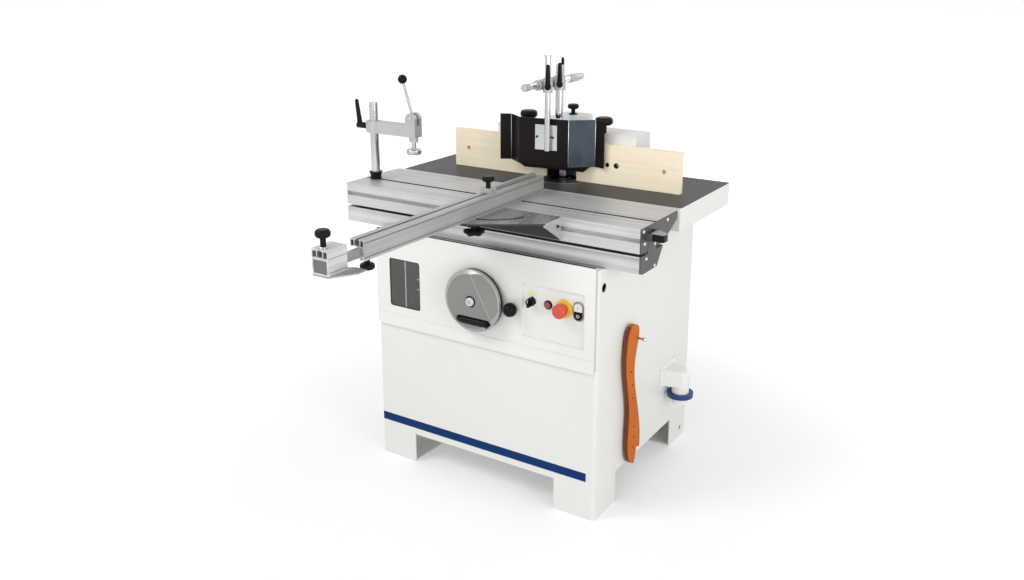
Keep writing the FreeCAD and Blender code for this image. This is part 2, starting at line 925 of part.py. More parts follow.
def handwheel():
    profile = [(0, 0), (shaft_radius * 2, 0), (wheel_face_radius, wheel_bore_dish), (wheel_radius, 0),
               (wheel_radius, wheel_rim), (wheel_face_radius, wheel_crown),
               (wheel_hub_radius, wheel_crown), (wheel_hub_radius, wheel_hub_reach),
               (0, wheel_hub_reach)]
    wheel = turned(profile, Vector(wheel_x, wheel_back_y, wheel_height), Vector(0, -1, 0))
    wheel = wheel.cut(wheel_facet())
    pivot = grip_pivot()
    half = grip_radius + grip_pocket_side
    pocket = block(pivot.x - grip_length - 2 * half, pivot.x + half, pivot.y - overrun, pivot.y + half,
                   pivot.z - half, pivot.z + half)
    shaft = rod(shaft_radius, Vector(wheel_x, wheel_back_y, wheel_height),
                Vector(wheel_x, gear_front + gear_width / 2, wheel_height))
    pin = rod(grip_pin_radius, Vector(pivot.x, pivot.y, pivot.z - half),
              Vector(pivot.x, pivot.y, pivot.z + half))
    return united([wheel.cut(pocket), shaft, pin])


def wheel_facet():
    # A flat that slopes back from a chord of the wheel's face towards the rim.
    size = 2 * wheel_radius
    wedge = Part.makeBox(size, size, size, Vector(0, -size / 2, 0))
    wedge.rotate(Vector(0, 0, 0), Vector(0, 1, 0), wheel_facet_angle)
    wedge.translate(Vector(wheel_facet_chord, 0, wheel_crown))
    wedge.rotate(Vector(0, 0, 0), Vector(0, 0, 1), wheel_facet_turn)
    wedge.Placement = FreeCAD.Placement(Vector(wheel_x, wheel_back_y, wheel_height),
                                        FreeCAD.Rotation(Vector(1, 0, 0), Vector(0, 0, 1),
                                                         Vector(0, -1, 0))).multiply(wedge.Placement)
    return wedge


def handwheel_grip():
    pivot = grip_pivot()
    end = pivot - Vector(grip_length, 0, 0)
    grip = rod(grip_radius, pivot, end)
    rims = [e for e in grip.Edges if isinstance(e.Curve, Part.Circle)]
    grip = grip.makeFillet(grip_radius * knob_round_share, rims)
    return grip.cut(upright(grip_pin_radius + running_gap, pivot.x, pivot.y, pivot.z - 2 * grip_radius,
                            pivot.z + 2 * grip_radius))


def lock_knob():
    ball = Vector(lock_knob_x, panel_front - lock_ball_reach, lock_knob_height)
    inside = Vector(lock_knob_x, -half_depth + lock_stem_inside, lock_knob_height)
    return united([Part.makeSphere(lock_ball_radius, ball), rod(lock_stem_radius, inside, ball)])


def lift_frame():
    left, right = spindle_x - column_spread, spindle_x + column_spread
    yoke = block(left - yoke_margin, right + yoke_margin, column_y - yoke_depth / 2,
                 column_y + yoke_depth / 2, yoke_bottom, gear_bottom)
    columns = [upright(column_radius, x, column_y, yoke_bottom, table_height - table_plate)
               for x in (left, right)]
    gear = block(wheel_x - gear_width / 2, wheel_x + gear_width / 2, gear_front,
                 column_y + yoke_depth / 2, gear_bottom, gear_top)
    gear = soften(gear, sheet * 2, Vector(0, 0, 1))
    shaft = rod(shaft_radius + running_gap, Vector(wheel_x, gear_front - overrun, wheel_height),
                Vector(wheel_x, gear_front + gear_width / 2 + running_gap, wheel_height))
    screw = upright(screw_radius + running_gap, wheel_x, column_y, gear_top - gear_height / 4,
                    gear_top + overrun)
    return united([yoke, gear] + columns).cut(shaft).cut(screw)


def leadscrew():
    foot = gear_top - gear_height / 4 + seat_gap
    return upright(screw_radius, wheel_x, column_y, foot, foot + screw_length)


def quill_carrier():
    right = spindle_x + column_spread + carrier_margin
    y0, y1 = column_y - carrier_depth / 2, column_y + carrier_depth / 2
    slab = block(carrier_left, right, y0, y1, carrier_bottom, carrier_bottom + carrier_height)
    sleeve = upright(sleeve_radius, spindle_x, spindle_y, sleeve_bottom, sleeve_top)
    web = block(spindle_x - sleeve_radius, spindle_x + sleeve_radius, y1, spindle_y, carrier_bottom,
                carrier_bottom + carrier_height)
    hanger = block(carrier_left, carrier_left + hanger_width, y1, y1 + hanger_thickness,
                   motor_plate_top - motor_plate, carrier_bottom + carrier_height)
    plate = block(motor_x - motor_radius - hanger_thickness, motor_plate_right, y1,
                  spindle_y + motor_radius, motor_plate_top - motor_plate, motor_plate_top)
    carrier = united([slab, sleeve, web, hanger, plate])
    bores = [upright(column_radius + running_gap, spindle_x + side * column_spread, column_y,
                     carrier_bottom - overrun, carrier_bottom + carrier_height + overrun)
             for side in (-1, 1)]
    bores.append(upright(screw_radius + running_gap, wheel_x, column_y, carrier_bottom - overrun,
                         carrier_bottom + carrier_height + overrun))
    bores.append(upright(sleeve_bore, spindle_x, spindle_y, sleeve_bottom - overrun,
                         sleeve_top + overrun))
    bores.append(upright(motor_shaft_radius + 2 * running_gap, motor_x, spindle_y,
                         motor_plate_top - motor_plate - overrun, motor_plate_top + overrun))
    return carrier.cut(bores)


# Motor, pulleys, belt and spindle
def motor():
    top = motor_plate_top - motor_plate
    body = upright(motor_radius, motor_x, spindle_y, top - motor_height, top)
    for i in range(motor_fin_count):
        groove = block(motor_radius - motor_fin_depth, motor_radius + overrun, -motor_fin_width / 2,
                       motor_fin_width / 2, top - motor_height + motor_radius / 2, top - motor_fin_depth)
        groove.rotate(Vector(0, 0, 0), Vector(0, 0, 1), 360 * (i + 1 / 2) / motor_fin_count)
        groove.translate(Vector(motor_x, spindle_y, 0))
        body = body.cut(groove)
    low = top - motor_height / 2 - terminal_box / 2
    box = block(motor_x - terminal_box / 2, motor_x + terminal_box / 2,
                spindle_y + motor_radius - motor_fin_depth * 2,
                spindle_y + motor_radius + terminal_depth, low, low + terminal_box)
    shaft_seat = upright(motor_shaft_radius + running_gap, motor_x, spindle_y, top - motor_height / 4,
                         top + overrun)
    return united([body, box]).cut(shaft_seat)


def stepped_profile(radii, bore):
    profile = [(bore, 0)]
    for i, radius in enumerate(radii):
        profile += [(radius, i * pulley_step), (radius, (i + 1) * pulley_step)]
    return profile + [(bore, pulley_height)]


def motor_pulley():
    foot = Vector(motor_x, spindle_y, pulley_bottom)
    pulley = turned(stepped_profile(motor_pulley_radii, 0), foot, Vector(0, 0, 1))
    low = motor_plate_top - motor_plate - motor_height / 4 + seat_gap
    return united([pulley, upright(motor_shaft_radius, motor_x, spindle_y, low, pulley_bottom)])


def spindle_pulley():
    foot = Vector(spindle_x, spindle_y, pulley_bottom)
    return turned(stepped_profile(spindle_pulley_radii, arbor_radius), foot, Vector(0, 0, 1))


def loop_face(x0, r0, x1, r1, y, z):
    # The band round two circles on one line along X, the first circle on the left.
    tilt = math.acos((r0 - r1) / (x1 - x0))
    c, s = math.cos(tilt), math.sin(tilt)
    top0, low0 = Vector(x0 + r0 * c, y + r0 * s, z), Vector(x0 + r0 * c, y - r0 * s, z)
    top1, low1 = Vector(x1 + r1 * c, y + r1 * s, z), Vector(x1 + r1 * c, y - r1 * s, z)
    edges = [Part.Arc(top0, Vector(x0 - r0, y, z), low0).toShape(), Part.makeLine(low0, low1),
             Part.Arc(low1, Vector(x1 + r1, y, z), top1).toShape(), Part.makeLine(top1, top0)]
    return Part.Face(Part.Wire(edges))


def drive_belt():
    z = pulley_bottom + belt_step_count * pulley_step + (pulley_step - belt_height) / 2
    r0 = motor_pulley_radii[belt_step_count] + running_gap
    r1 = spindle_pulley_radii[belt_step_count] + running_gap
    outer = loop_face(motor_x, r0 + belt_thickness, spindle_x, r1 + belt_thickness, spindle_y, z)
    inner = loop_face(motor_x, r0, spindle_x, r1, spindle_y, z)
    return outer.cut(inner).extrude(Vector(0, 0, belt_height))


def spindle():
    half = bearing_height / 2
    low_bearing = sleeve_bottom + bearing_height
    high_bearing = sleeve_top - bearing_height
    profile = [(0, pulley_bottom), (arbor_radius, pulley_bottom), (arbor_radius, pulley_top),
               (spindle_radius, pulley_top)]
    for middle in (low_bearing, high_bearing):
        profile += [(spindle_radius, middle - half), (bearing_radius, middle - half),
                    (bearing_radius, middle + half), (spindle_radius, middle + half)]
    profile += [(spindle_radius, arbor_shoulder - bearing_height),
                (spacer_radius, arbor_shoulder - bearing_height)]
    pitch = (spacer_top - arbor_shoulder) / spacer_count
    for i in range(spacer_count):
        top = arbor_shoulder + (i + 1) * pitch
        profile += [(spacer_radius, top - spacer_groove),
                    (spacer_radius - spacer_groove, top - spacer_groove),
                    (spacer_radius - spacer_groove, top), (spacer_radius, top)]
    profile[-1] = (arbor_radius, spacer_top)
    profile += [(arbor_radius, arbor_nut_bottom), (nut_radius, arbor_nut_bottom),
                (nut_radius, arbor_nut_top), (arbor_radius, arbor_nut_top), (arbor_radius, arbor_top),
                (0, arbor_top)]
    return turned(profile, Vector(spindle_x, spindle_y, 0), Vector(0, 0, 1))


# Table and rings
def table():
    half = table_length / 2
    top = block(-half, half, table_front, table_back, table_bottom, table_height)
    top = soften(top, table_corner, Vector(0, 0, 1))
    plate_under = table_height - table_plate
    hollow = block(-half + table_wall, half - table_wall, table_front + table_wall,
                   table_back - table_wall, table_bottom - overrun, plate_under)
    body = top.cut(hollow)
    inner_y = (table_front + table_wall, table_back - table_wall)
    ribs = []
    for side in (-1, 1):
        rib_x = side * (half_width - rib_thickness / 2)
        ribs.append(block(rib_x - rib_thickness / 2, rib_x + rib_thickness / 2, *inner_y, table_bottom,
                          plate_under))
    for share in (-1, 1):
        rib_x = spindle_x + share * (outer_ring_radius + column_spread)
        ribs.append(block(rib_x - rib_thickness / 2, rib_x + rib_thickness / 2, *inner_y,
                          plate_under - rib_drop, plate_under))
    boss = upright(outer_ring_radius + table_wall, spindle_x, spindle_y,
                   table_height - ring_thickness - ring_ledge, plate_under + overrun)
    seat = upright(outer_ring_radius + seat_gap, spindle_x, spindle_y, table_height - ring_thickness,
                   table_height + overrun)
    bore = upright(inner_ring_radius + ring_ledge, spindle_x, spindle_y, table_bottom - overrun,
                   table_height + overrun)
    return united([body] + ribs + [boss]).cut(seat).cut(bore)


def table_rings():
    low = table_height - ring_thickness
    half = ring_thickness / 2
    outer = upright_tube(outer_ring_radius, inner_ring_radius, spindle_x, spindle_y, low, table_height)
    ledge = upright_tube(inner_ring_radius + half, inner_ring_radius - half, spindle_x, spindle_y, low,
                         low + half)
    inner = upright_tube(inner_ring_radius - seat_gap, ring_bore_radius, spindle_x, spindle_y,
                         low + half, table_height)
    return Part.makeCompound([outer.fuse(ledge).removeSplitter(), inner])


# Carriage and beam
def beam_outline(inset):
    low = beam_bottom + inset
    front = carriage_front + inset
    back_top = heel_back - inset
    back_low = back_top - beam_slope
    return [(front, low + beam_chamfer_rise), (front + beam_chamfer, low), (back_low, low),
            (back_top, beam_top - inset), (front, beam_top - inset)]


def carriage_beam():
    beam = section_x(beam_outline(0), carriage_left, carriage_right)
    rail_top = beam_top + rail_height
    rail = block(carriage_left, carriage_right, rail_front, rail_back, beam_top - beam_wall, rail_top)
    beam = beam.fuse(rail)
    past = (carriage_left - overrun, carriage_right + overrun)
    front_cell = section_x(beam_outline(beam_wall), *past)
    rail_cell = block(*past, rail_front + rail_wall, rail_back - rail_wall, beam_top - 2 * beam_wall,
                      rail_top - rail_wall)
    groove = block(*past, carriage_front - overrun, carriage_front + beam_wall / 2,
                   beam_top - 2 * beam_wall, beam_top - beam_wall)
    return beam.cut(front_cell).cut(rail_cell).cut(groove).removeSplitter()


def beam_end_plates():
    plates = []
    rail_top = beam_top + rail_height
    for x0 in (carriage_left - end_plate_thickness, carriage_right):
        plate = section_x(beam_outline(0), x0, x0 + end_plate_thickness)
        rail = block(x0, x0 + end_plate_thickness, rail_front, rail_back, beam_top - beam_wall, rail_top)
        plates.append(plate.fuse(rail).removeSplitter())
    return Part.makeCompound(plates)


def carriage_outline():
    slab_under = table_height - slab_thickness
    return [(carriage_front, carriage_bottom), (front_box_back, carriage_bottom),
            (front_box_back, slab_under), (heel_front, slab_under), (heel_front, carriage_bottom),
            (heel_back, carriage_bottom), (carriage_back - slab_wall, slab_under),
            (carriage_back, slab_under + slab_wall), (carriage_back, table_height),
            (carriage_front, table_height)]


def carriage_cells():
    past = (carriage_left - overrun, carriage_right + overrun)
    roof = table_height - slab_wall
    low = table_height - slab_thickness + slab_wall
    slot_half = top_slot_width / 2 + slab_wall
    cells = [block(*past, carriage_front + slab_wall, slot_y - slot_half, low, roof),
             block(*past, slot_y + slot_half, carriage_back - 3 * slab_wall, low, roof)]
    slot_roof = table_height - top_slot_neck
    cells.append(block(*past, slot_y - top_slot_mouth / 2, slot_y + top_slot_mouth / 2,
                       slot_roof - overrun, table_height + overrun))
    cells.append(block(*past, slot_y - top_slot_width / 2, slot_y + top_slot_width / 2,
                       table_height - top_slot_depth - top_slot_neck, slot_roof))
    top = table_height - front_slot_top
    cells.append(block(*past, carriage_front + front_slot_lip, carriage_front + front_slot_depth,
                       top - front_slot_height, top))
    cells.append(block(*past, carriage_front - overrun, carriage_front + front_slot_depth,
                       top - front_slot_height + front_slot_lip, top - front_slot_lip))
    cells.append(block(*past, carriage_front + slab_wall, front_box_back - slab_wall,
                       carriage_bottom + slab_wall, top - front_slot_height - slab_wall))
    slab_under = table_height - slab_thickness
    cells.append(section_x([(heel_front + slab_wall, carriage_bottom + slab_wall),
                            (heel_back - slab_wall, carriage_bottom + slab_wall),
                            (carriage_back - slope_web - 2 * slab_wall, slab_under - slab_wall),
                            (heel_front + slab_wall, slab_under - slab_wall)], *past))
    return cells


def carriage():
    whole = section_x(carriage_outline(), carriage_left, carriage_right)
    return whole.cut(carriage_cells()).removeSplitter()


def end_plate_outline():
    slab_under = table_height - slab_thickness
    room_front, room_back = rail_front - rail_room, rail_back + rail_room
    room_top = beam_top + rail_height + rail_room
    top = table_height - running_gap
    back = carriage_back - end_plate_setback
    return [(carriage_front, carriage_bottom), (room_front, carriage_bottom), (room_front, room_top),
            (room_back, room_top), (room_back, carriage_bottom), (heel_back, carriage_bottom),
            (back, slab_under), (back, top), (carriage_front, top)]


def carriage_end_plates():
    left = carriage_left - end_plate_thickness
    plates = [section_x(end_plate_outline(), x0, x0 + end_plate_thickness)
              for x0 in (left, carriage_right)]
    return Part.makeCompound([plates[0], united([plates[1], latch_ears()])])


def latch_pivot():
    return Vector(carriage_right + end_plate_thickness + latch_ear + latch_thickness / 2,
                  carriage_front + latch_setback + latch_root_width / 2, table_height - latch_drop)


def latch_ears():
    pivot = latch_pivot()
    half = latch_thickness / 2
    x0 = carriage_right + end_plate_thickness
    ears = []
    for side in (-1, 1):
        y = pivot.y + side * (latch_root_width / 2 + running_gap + latch_ear / 2)
        ears.append(block(x0, pivot.x + half / 2, y - latch_ear / 2, y + latch_ear / 2, pivot.z - half,
                          pivot.z + half))
    reach = Vector(0, latch_root_width / 2 + latch_ear, 0)
    return united([ears[0], rod(latch_pivot_radius, pivot - reach, pivot + reach), ears[1]])


def carriage_latch():
    # A lever that narrows on its rear side towards a rounded tip.
    pivot = latch_pivot()
    half = latch_thickness / 2
    front, back = pivot.y - latch_root_width / 2, pivot.y + latch_root_width / 2
    tip = pivot.x + latch_reach
    eye = rod(half, Vector(pivot.x, front, pivot.z), Vector(pivot.x, back, pivot.z))
    body = section_z([(pivot.x, front), (tip, front), (tip, front + latch_tip_width),
                      (pivot.x + half, back), (pivot.x, back)], pivot.z - half, pivot.z + half)
    body = soften(body, latch_round, Vector(0, 0, 1), lambda p: p.x > tip - half)
    bore = rod(latch_pivot_radius + running_gap, Vector(pivot.x, front - overrun, pivot.z),
               Vector(pivot.x, back + overrun, pivot.z))
    return united([eye, body]).cut(bore)


def roller_cage():
    middle = carriage_centre
    half = roller_track / 2
    strips = []
    for y in (rail_front - half, rail_back + half):
        z0 = beam_top + seat_gap
        strip = block(middle - cage_length / 2, middle + cage_length / 2, y - cage_strip / 2,
                      y + cage_strip / 2, z0, z0 + cage_height)
        low = z0 + (cage_height - roller_height) / 2
        pitch = cage_length / roller_count
        rollers = [upright(half - running_gap, middle + (i + 1 / 2) * pitch - cage_length / 2, y, low,
                           low + roller_height) for i in range(roller_count)]
        strips.append(united([strip] + rollers))
    return Part.makeCompound(strips)


# Hold-down clamp
def clamp_column():
    slot_roof = table_height - top_slot_neck
    nut_half = top_slot_width / 2 - 1.5 * running_gap
    nut = block(clamp_x - top_slot_width, clamp_x + top_slot_width, slot_y - nut_half, slot_y + nut_half,
                slot_roof - running_gap - clamp_nut_height, slot_roof - running_gap)
    neck_half = top_slot_mouth / 2 - running_gap
    neck = upright(neck_half, clamp_x, slot_y, slot_roof - clamp_nut_height,
                   table_height + clamp_collar_height)
    foot = table_height + running_gap
    flare = clamp_collar_radius * clamp_flare_share
    collar = turned([(0, 0), (flare, 0), (flare, clamp_collar_height / 2),
                     (clamp_collar_radius, clamp_collar_height), (0, clamp_collar_height)],
                    Vector(clamp_x, slot_y, foot), Vector(0, 0, 1))
    column = upright(clamp_column_radius, clamp_x, slot_y, foot + clamp_collar_height / 2,
                     table_height + clamp_column_height)
    return united([nut, neck, collar, column])


def clamp_arm():
    half = clamp_arm_width / 2
    hub = upright(clamp_hub_radius, clamp_x, slot_y, clamp_arm_bottom, clamp_arm_top)
    end = clamp_head_x + clamp_head_radius
    beam = block(clamp_x, end, slot_y - half, slot_y + half, clamp_arm_bottom, clamp_arm_top)
    middle = Vector(clamp_head_x, slot_y - half, clamp_head_top)
    head = rod(clamp_head_radius, middle, middle + Vector(0, clamp_arm_width, 0))
    cheek = block(clamp_head_x - clamp_head_radius, end, slot_y - half, slot_y + half, clamp_arm_bottom,
                  clamp_head_top)
    nose = upright(clamp_nose_radius, clamp_head_x, slot_y, clamp_arm_bottom - clamp_nose_length,
                   clamp_arm_bottom)
    lug = block(clamp_x - clamp_hub_radius - clamp_lug, clamp_x, slot_y - half / 2, slot_y + half / 2,
                clamp_arm_bottom, clamp_arm_top)
    arm = united([hub, beam, head, cheek, nose, lug])
    slot = block(clamp_head_x - clamp_head_radius - overrun, end + overrun, slot_y - clamp_slot / 2,
                 slot_y + clamp_slot / 2, cam_tip_height, clamp_head_top + clamp_head_radius + overrun)
    column = upright(clamp_column_radius + running_gap, clamp_x, slot_y, clamp_arm_bottom - overrun,
                     clamp_arm_top + overrun)
    plunger = upright(plunger_radius + running_gap, clamp_head_x, slot_y,
                      clamp_arm_bottom - clamp_nose_length - overrun, cam_tip_height + overrun)
    pin = rod(cam_pin_radius, Vector(clamp_head_x, slot_y - half, cam_height),
              Vector(clamp_head_x, slot_y + half, cam_height))
    return united([arm.cut(slot).cut(column).cut(plunger), pin])


def cam_direction():
    lean = math.radians(cam_lever_lean)
    return Vector(-math.sin(lean), 0, math.cos(lean))


def clamp_lever():
    centre = Vector(clamp_head_x, slot_y, cam_height)
    half = Vector(0, cam_width / 2, 0)
    cam = rod(cam_radius, centre - half, centre + half)
    ball = centre + cam_direction() * cam_lever_length
    handle = rod(cam_lever_radius, centre + cam_direction() * (cam_radius / 2), ball)
    bore = rod(cam_pin_radius + running_gap, centre - half * 2, centre + half * 2)
    return united([cam, handle, Part.makeSphere(ball_radius, ball)]).cut(bore)


def clamp_plunger():
    rest = cam_height - cam_radius - running_gap
    low = pad_top - pad_height
    stem = upright(plunger_radius, clamp_head_x, slot_y, pad_top - pad_height / 2, rest)
    pad = upright(pad_radius, clamp_head_x, slot_y, low, pad_top)
    rims = [e for e in pad.Edges if isinstance(e.Curve, Part.Circle)]
    return united([pad.makeFillet(pad_height / 4, rims), stem])


def clamp_ratchet():
    foot = Vector(clamp_x - clamp_hub_radius - clamp_lug - seat_gap, slot_y,
                  (clamp_arm_bottom + clamp_arm_top) / 2)
    lean = math.radians(arm_lever_lean)
    up = Vector(-math.sin(lean), 0, math.cos(lean))
    return ratchet_lever(arm_lever_hub_length, arm_lever_length, foot, Vector(-1, 0, 0), up)


# Angle bracket and mitre fence
def angle_slot(z0, z1):
    half = angle_slot_width / 2
    ends = [math.radians(a) for a in (angle_slot_start, angle_slot_end)]
    middle = sum(ends) / 2

    def spot(radius, angle):
        return Vector(fence_middle + radius * math.cos(angle), pivot_y + radius * math.sin(angle), z0)

    outer, inner = angle_slot_radius + half, angle_slot_radius - half
    edges = [Part.Arc(spot(outer, ends[0]), spot(outer, middle), spot(outer, ends[1])).toShape(),
             Part.makeLine(spot(outer, ends[1]), spot(inner, ends[1])),
             Part.Arc(spot(inner, ends[1]), spot(inner, middle), spot(inner, ends[0])).toShape(),
             Part.makeLine(spot(inner, ends[0]), spot(outer, ends[0]))]
    return Part.Face(Part.Wire(edges)).extrude(Vector(0, 0, z1 - z0))


def angle_bracket():
    back = carriage_front
    front = back - bracket_depth
    plate = section_z([(bracket_left, back), (bracket_right, back),
                       (bracket_right, back - bracket_short_depth), (bracket_corner_x, front),
                       (bracket_left, front)], bracket_under, bracket_top)
    flange = block(bracket_left, bracket_right, back - bracket_plate, back,
                   bracket_under - bracket_flange, bracket_under)
    gussets = []
    for x0, reach in ((bracket_left, bracket_depth), (bracket_right - bracket_plate,
                                                      bracket_short_depth)):
        gussets.append(section_x([(back, bracket_under), (back - reach, bracket_under),
                                  (back - reach, bracket_under - bracket_tip),
                                  (back, bracket_under - bracket_flange)], x0, x0 + bracket_plate))
    pivot = upright(pivot_radius + running_gap, fence_middle, pivot_y, bracket_under - overrun,
                    bracket_top + overrun)
    slot = angle_slot(bracket_under - overrun, bracket_top + overrun)
    return united([plate, flange] + gussets).cut(pivot).cut(slot)


def fence_profile():
    deck = fence_top - fence_top_depth
    profile = [(fence_left, deck), (fence_right - fence_wall, deck),
               (fence_right - fence_wall, fence_bottom + fence_foot_height),
               (fence_right - fence_foot, fence_bottom + fence_foot_height),
               (fence_right - fence_foot, fence_bottom), (fence_right, fence_bottom),
               (fence_right, fence_top), (fence_left, fence_top)]
    return profile


def fence_chambers(x0, x1, deck, top, y0, y1):
    # Two closed chambers with a slot between them that opens upwards.
    middle = (x0 + x1) / 2
    half = fence_slot_mouth
    low, high = deck + fence_skin, top - fence_skin
    cells = [block(x0 + fence_skin, middle - half - fence_skin, y0, y1, low, high),
             block(middle - half, middle + half, y0, y1, low, high),
             block(middle - half / 2, middle + half / 2, y0, y1, low, top + overrun),
             block(middle + half + fence_skin, x1 - fence_skin, y0, y1, low, high)]
    return cells


def mitre_fence():
    body = section_y(fence_profile(), fence_outer_end, fence_inner_end)
    past = (fence_outer_end - overrun, fence_inner_end + overrun)
    body = body.cut(fence_chambers(fence_left, fence_right, fence_top - fence_top_depth, fence_top,
                                   *past))
    shoe_back = pivot_y + shoe_front_overlap
    shoe = block(fence_left + strip_inset, fence_right - fence_wall, shoe_back - shoe_length, shoe_back,
                 fence_bottom, fence_top - fence_top_depth)
    pivot = upright(pivot_radius, fence_middle, pivot_y, bracket_under - seat_gap, fence_bottom)
    nut = upright(pivot_nut_radius, fence_middle, pivot_y, bracket_under - seat_gap - pivot_nut_height,
                  bracket_under - seat_gap)
    bolt = upright(angle_bolt_radius, angle_bolt_x, angle_bolt_y, bracket_under - seat_gap, fence_bottom)
    return united([body, shoe, pivot, nut, bolt])


def angle_knob():
    foot = Vector(angle_bolt_x, angle_bolt_y, bracket_under - 2 * seat_gap)
    return star_knob(foot, Vector(0, 0, -1))


def fence_strip():
    low = fence_top + seat_gap
    middle = fence_middle
    strip_left = middle - fence_slot_mouth - strip_width
    strip = block(strip_left, strip_left + strip_width, strip_start, fence_inner_end, low,
                  low + strip_height)
    block_left = middle - strip_block_width / 2
    rider = block(block_left, block_left + strip_block_width, strip_start - strip_block_length,
                  strip_start, low, low + strip_block_height)
    tie = block(strip_left, strip_left + strip_width, strip_start - overrun, strip_start + overrun, low,
                low + strip_height)
    return united([strip, rider, tie])


def strip_knob():
    foot = Vector(fence_middle, strip_start - strip_block_length / 2,
                  fence_top + 2 * seat_gap + strip_block_height)
    return mushroom_knob(small_knob_head, small_knob_height, small_knob_stem, small_knob_length, foot,
                         Vector(0, 0, 1)).cut(block(-table_length, table_length, 2 * fence_outer_end, 0,
                                                    0, foot.z))


def extension_knob():
    foot = Vector(fence_right - fence_foot / 2, fence_outer_end + small_knob_head,
                  fence_bottom - seat_gap)
    knob = mushroom_knob(small_knob_head, small_knob_height, small_knob_stem, small_knob_length / 2,
                         foot, Vector(0, 0, -1))
    return knob.cut(block(-table_length, table_length, 2 * fence_outer_end, 0, foot.z, 2 * foot.z))


def fence_extension():
    bar = block(bar_right - bar_width, bar_right, end_block_back, bar_inner_end, bar_top - bar_height,
                bar_top)
    deck = end_block_top - end_block_deck
    outer = [(end_block_left, end_block_bottom), (end_block_right, end_block_bottom),
             (end_block_right, end_block_top), (end_block_left, end_block_top)]
    body = section_y(outer, end_block_front, end_block_back)
    past = (end_block_front - overrun, end_block_back - end_block_wall)
    body = body.cut(fence_chambers(end_block_left, end_block_right, deck, end_block_top,
                                   end_block_front - overrun, end_block_back + overrun))
    body = body.cut(block(end_block_left + end_block_wall, end_block_right - end_block_wall, *past,
                          end_block_bottom + end_block_wall, deck - end_block_wall))
    return united([bar, body])


def end_knob():
    foot = Vector((end_block_left + end_block_right) / 2, end_block_front + end_knob_setback,
                  end_block_top + seat_gap)
    knob = mushroom_knob(small_knob_head, end_knob_height, small_knob_stem, end_knob_length, foot,
                         Vector(0, 0, 1))
    return knob.cut(block(-table_length, table_length, 2 * fence_outer_end, 0, 0, foot.z))


def stop_pivot():
    return Vector(end_block_right - end_block_wall * 3, end_block_front + end_block_wall * 4,
                  end_block_bottom)


def stop_plate():
    pivot = stop_pivot()
    top = end_block_bottom - seat_gap
    x1 = end_block_right + stop_plate_reach
    y1 = end_block_front + stop_plate_run
    outline = [(end_block_left, end_block_front), (end_block_right, end_block_front),
               (x1, y1 - stop_plate_reach), (x1, y1), (end_block_right, y1),
               (end_block_left, y1 - stop_plate_reach)]
    plate = section_z(outline, top - stop_plate_thickness, top)
    bore = upright(stop_pin_radius + running_gap, pivot.x, pivot.y, top - overrun - stop_plate_thickness,
                   top + overrun)
    return plate.cut(bore)


def stop_pin():
    pivot = stop_pivot()
    low = end_block_bottom - stop_plate_thickness - 2 * seat_gap
    pin = upright(stop_pin_radius, pivot.x, pivot.y, low, end_block_bottom)
    head = upright(stop_pin_radius * 2, pivot.x, pivot.y, low - stop_plate_thickness, low)
    return united([pin, head])


# Fence boards, hood and guard
def board(x0, x1, bolts):
    plank = block(x0, x1, board_front, board_back, board_bottom, board_bottom + board_height)
    middle = board_bottom + board_height / 2
    for x, radius in bolts:
        plank = plank.cut(rod(radius, Vector(x, board_front - overrun, middle),
                              Vector(x, board_back + overrun, middle)))
    return plank


def board_holes(outer, inward):
    first = outer + inward * board_hole_inset
    return [(outer + inward * board_bolt_inset, board_bolt_radius), (first, board_hole_radius),
            (first + inward * board_hole_pitch, board_bolt_radius)]


def left_board():
    return board(left_board_end, left_gap_end, board_holes(left_board_end, 1))


def right_board():
    return board(right_gap_end, right_board_end, board_holes(right_board_end, -1))


def fence_hood():
    x0, x1 = spindle_x - hood_half_width, spindle_x + hood_half_width
    y0 = board_back + running_gap
    hood = upright_block(x0, x1, y0, hood_back, hood_bottom, hood_top, hood_sheet * 2)
    hollow = block(x0 + hood_sheet, x1 - hood_sheet, y0 + hood_sheet, hood_back - hood_sheet,
                   hood_bottom - overrun, hood_top - hood_sheet)
    mouth = block(spindle_x - hood_mouth / 2, spindle_x + hood_mouth / 2, y0 - overrun,
                  y0 + hood_sheet + overrun, hood_bottom - overrun, hood_top - hood_sheet * 3)
    middle = Vector(spindle_x, hood_back - hood_sheet, hood_bottom + outlet_height)
    spigot = rod(outlet_radius, middle, middle + Vector(0, outlet_length, 0))
    bore = rod(outlet_radius - hood_sheet, middle - Vector(0, overrun, 0),
               middle + Vector(0, outlet_length + overrun, 0))
    return united([hood.cut(hollow).cut(mouth), spigot]).cut(bore)


def fence_knob(side):
    foot = Vector(spindle_x + side * knob_spread, board_back + knob_setback + large_knob_stem,
                  hood_top + seat_gap)
    knob = mushroom_knob(large_knob_head, large_knob_height, large_knob_stem, large_knob_length, foot,
                         Vector(0, 0, 1))
    return knob.cut(block(-table_length, table_length, 0, table_length, 0, foot.z))


def guard_bracket():
    x0, x1 = spindle_x - bracket_half_width, spindle_x + bracket_half_width
    y0, y1 = bracket_front, bracket_front + bracket_length
    channel = block(x0, x1, y0, y1, hood_top, bracket_deck)
    hollow = block(x0 + hood_sheet, x1 - hood_sheet, y0 + hood_sheet, y1 - hood_sheet,
                   hood_top - overrun, bracket_deck - hood_sheet)
    half = small_knob_stem + running_gap
    knob_y = bracket_front + bracket_knob_setback
    slot = block(spindle_x - half, spindle_x + half, knob_y - bracket_slot_length / 2,
                 knob_y + bracket_slot_length / 2, bracket_deck - hood_sheet - overrun,
                 bracket_deck + overrun)
    return channel.cut(hollow).cut(slot)


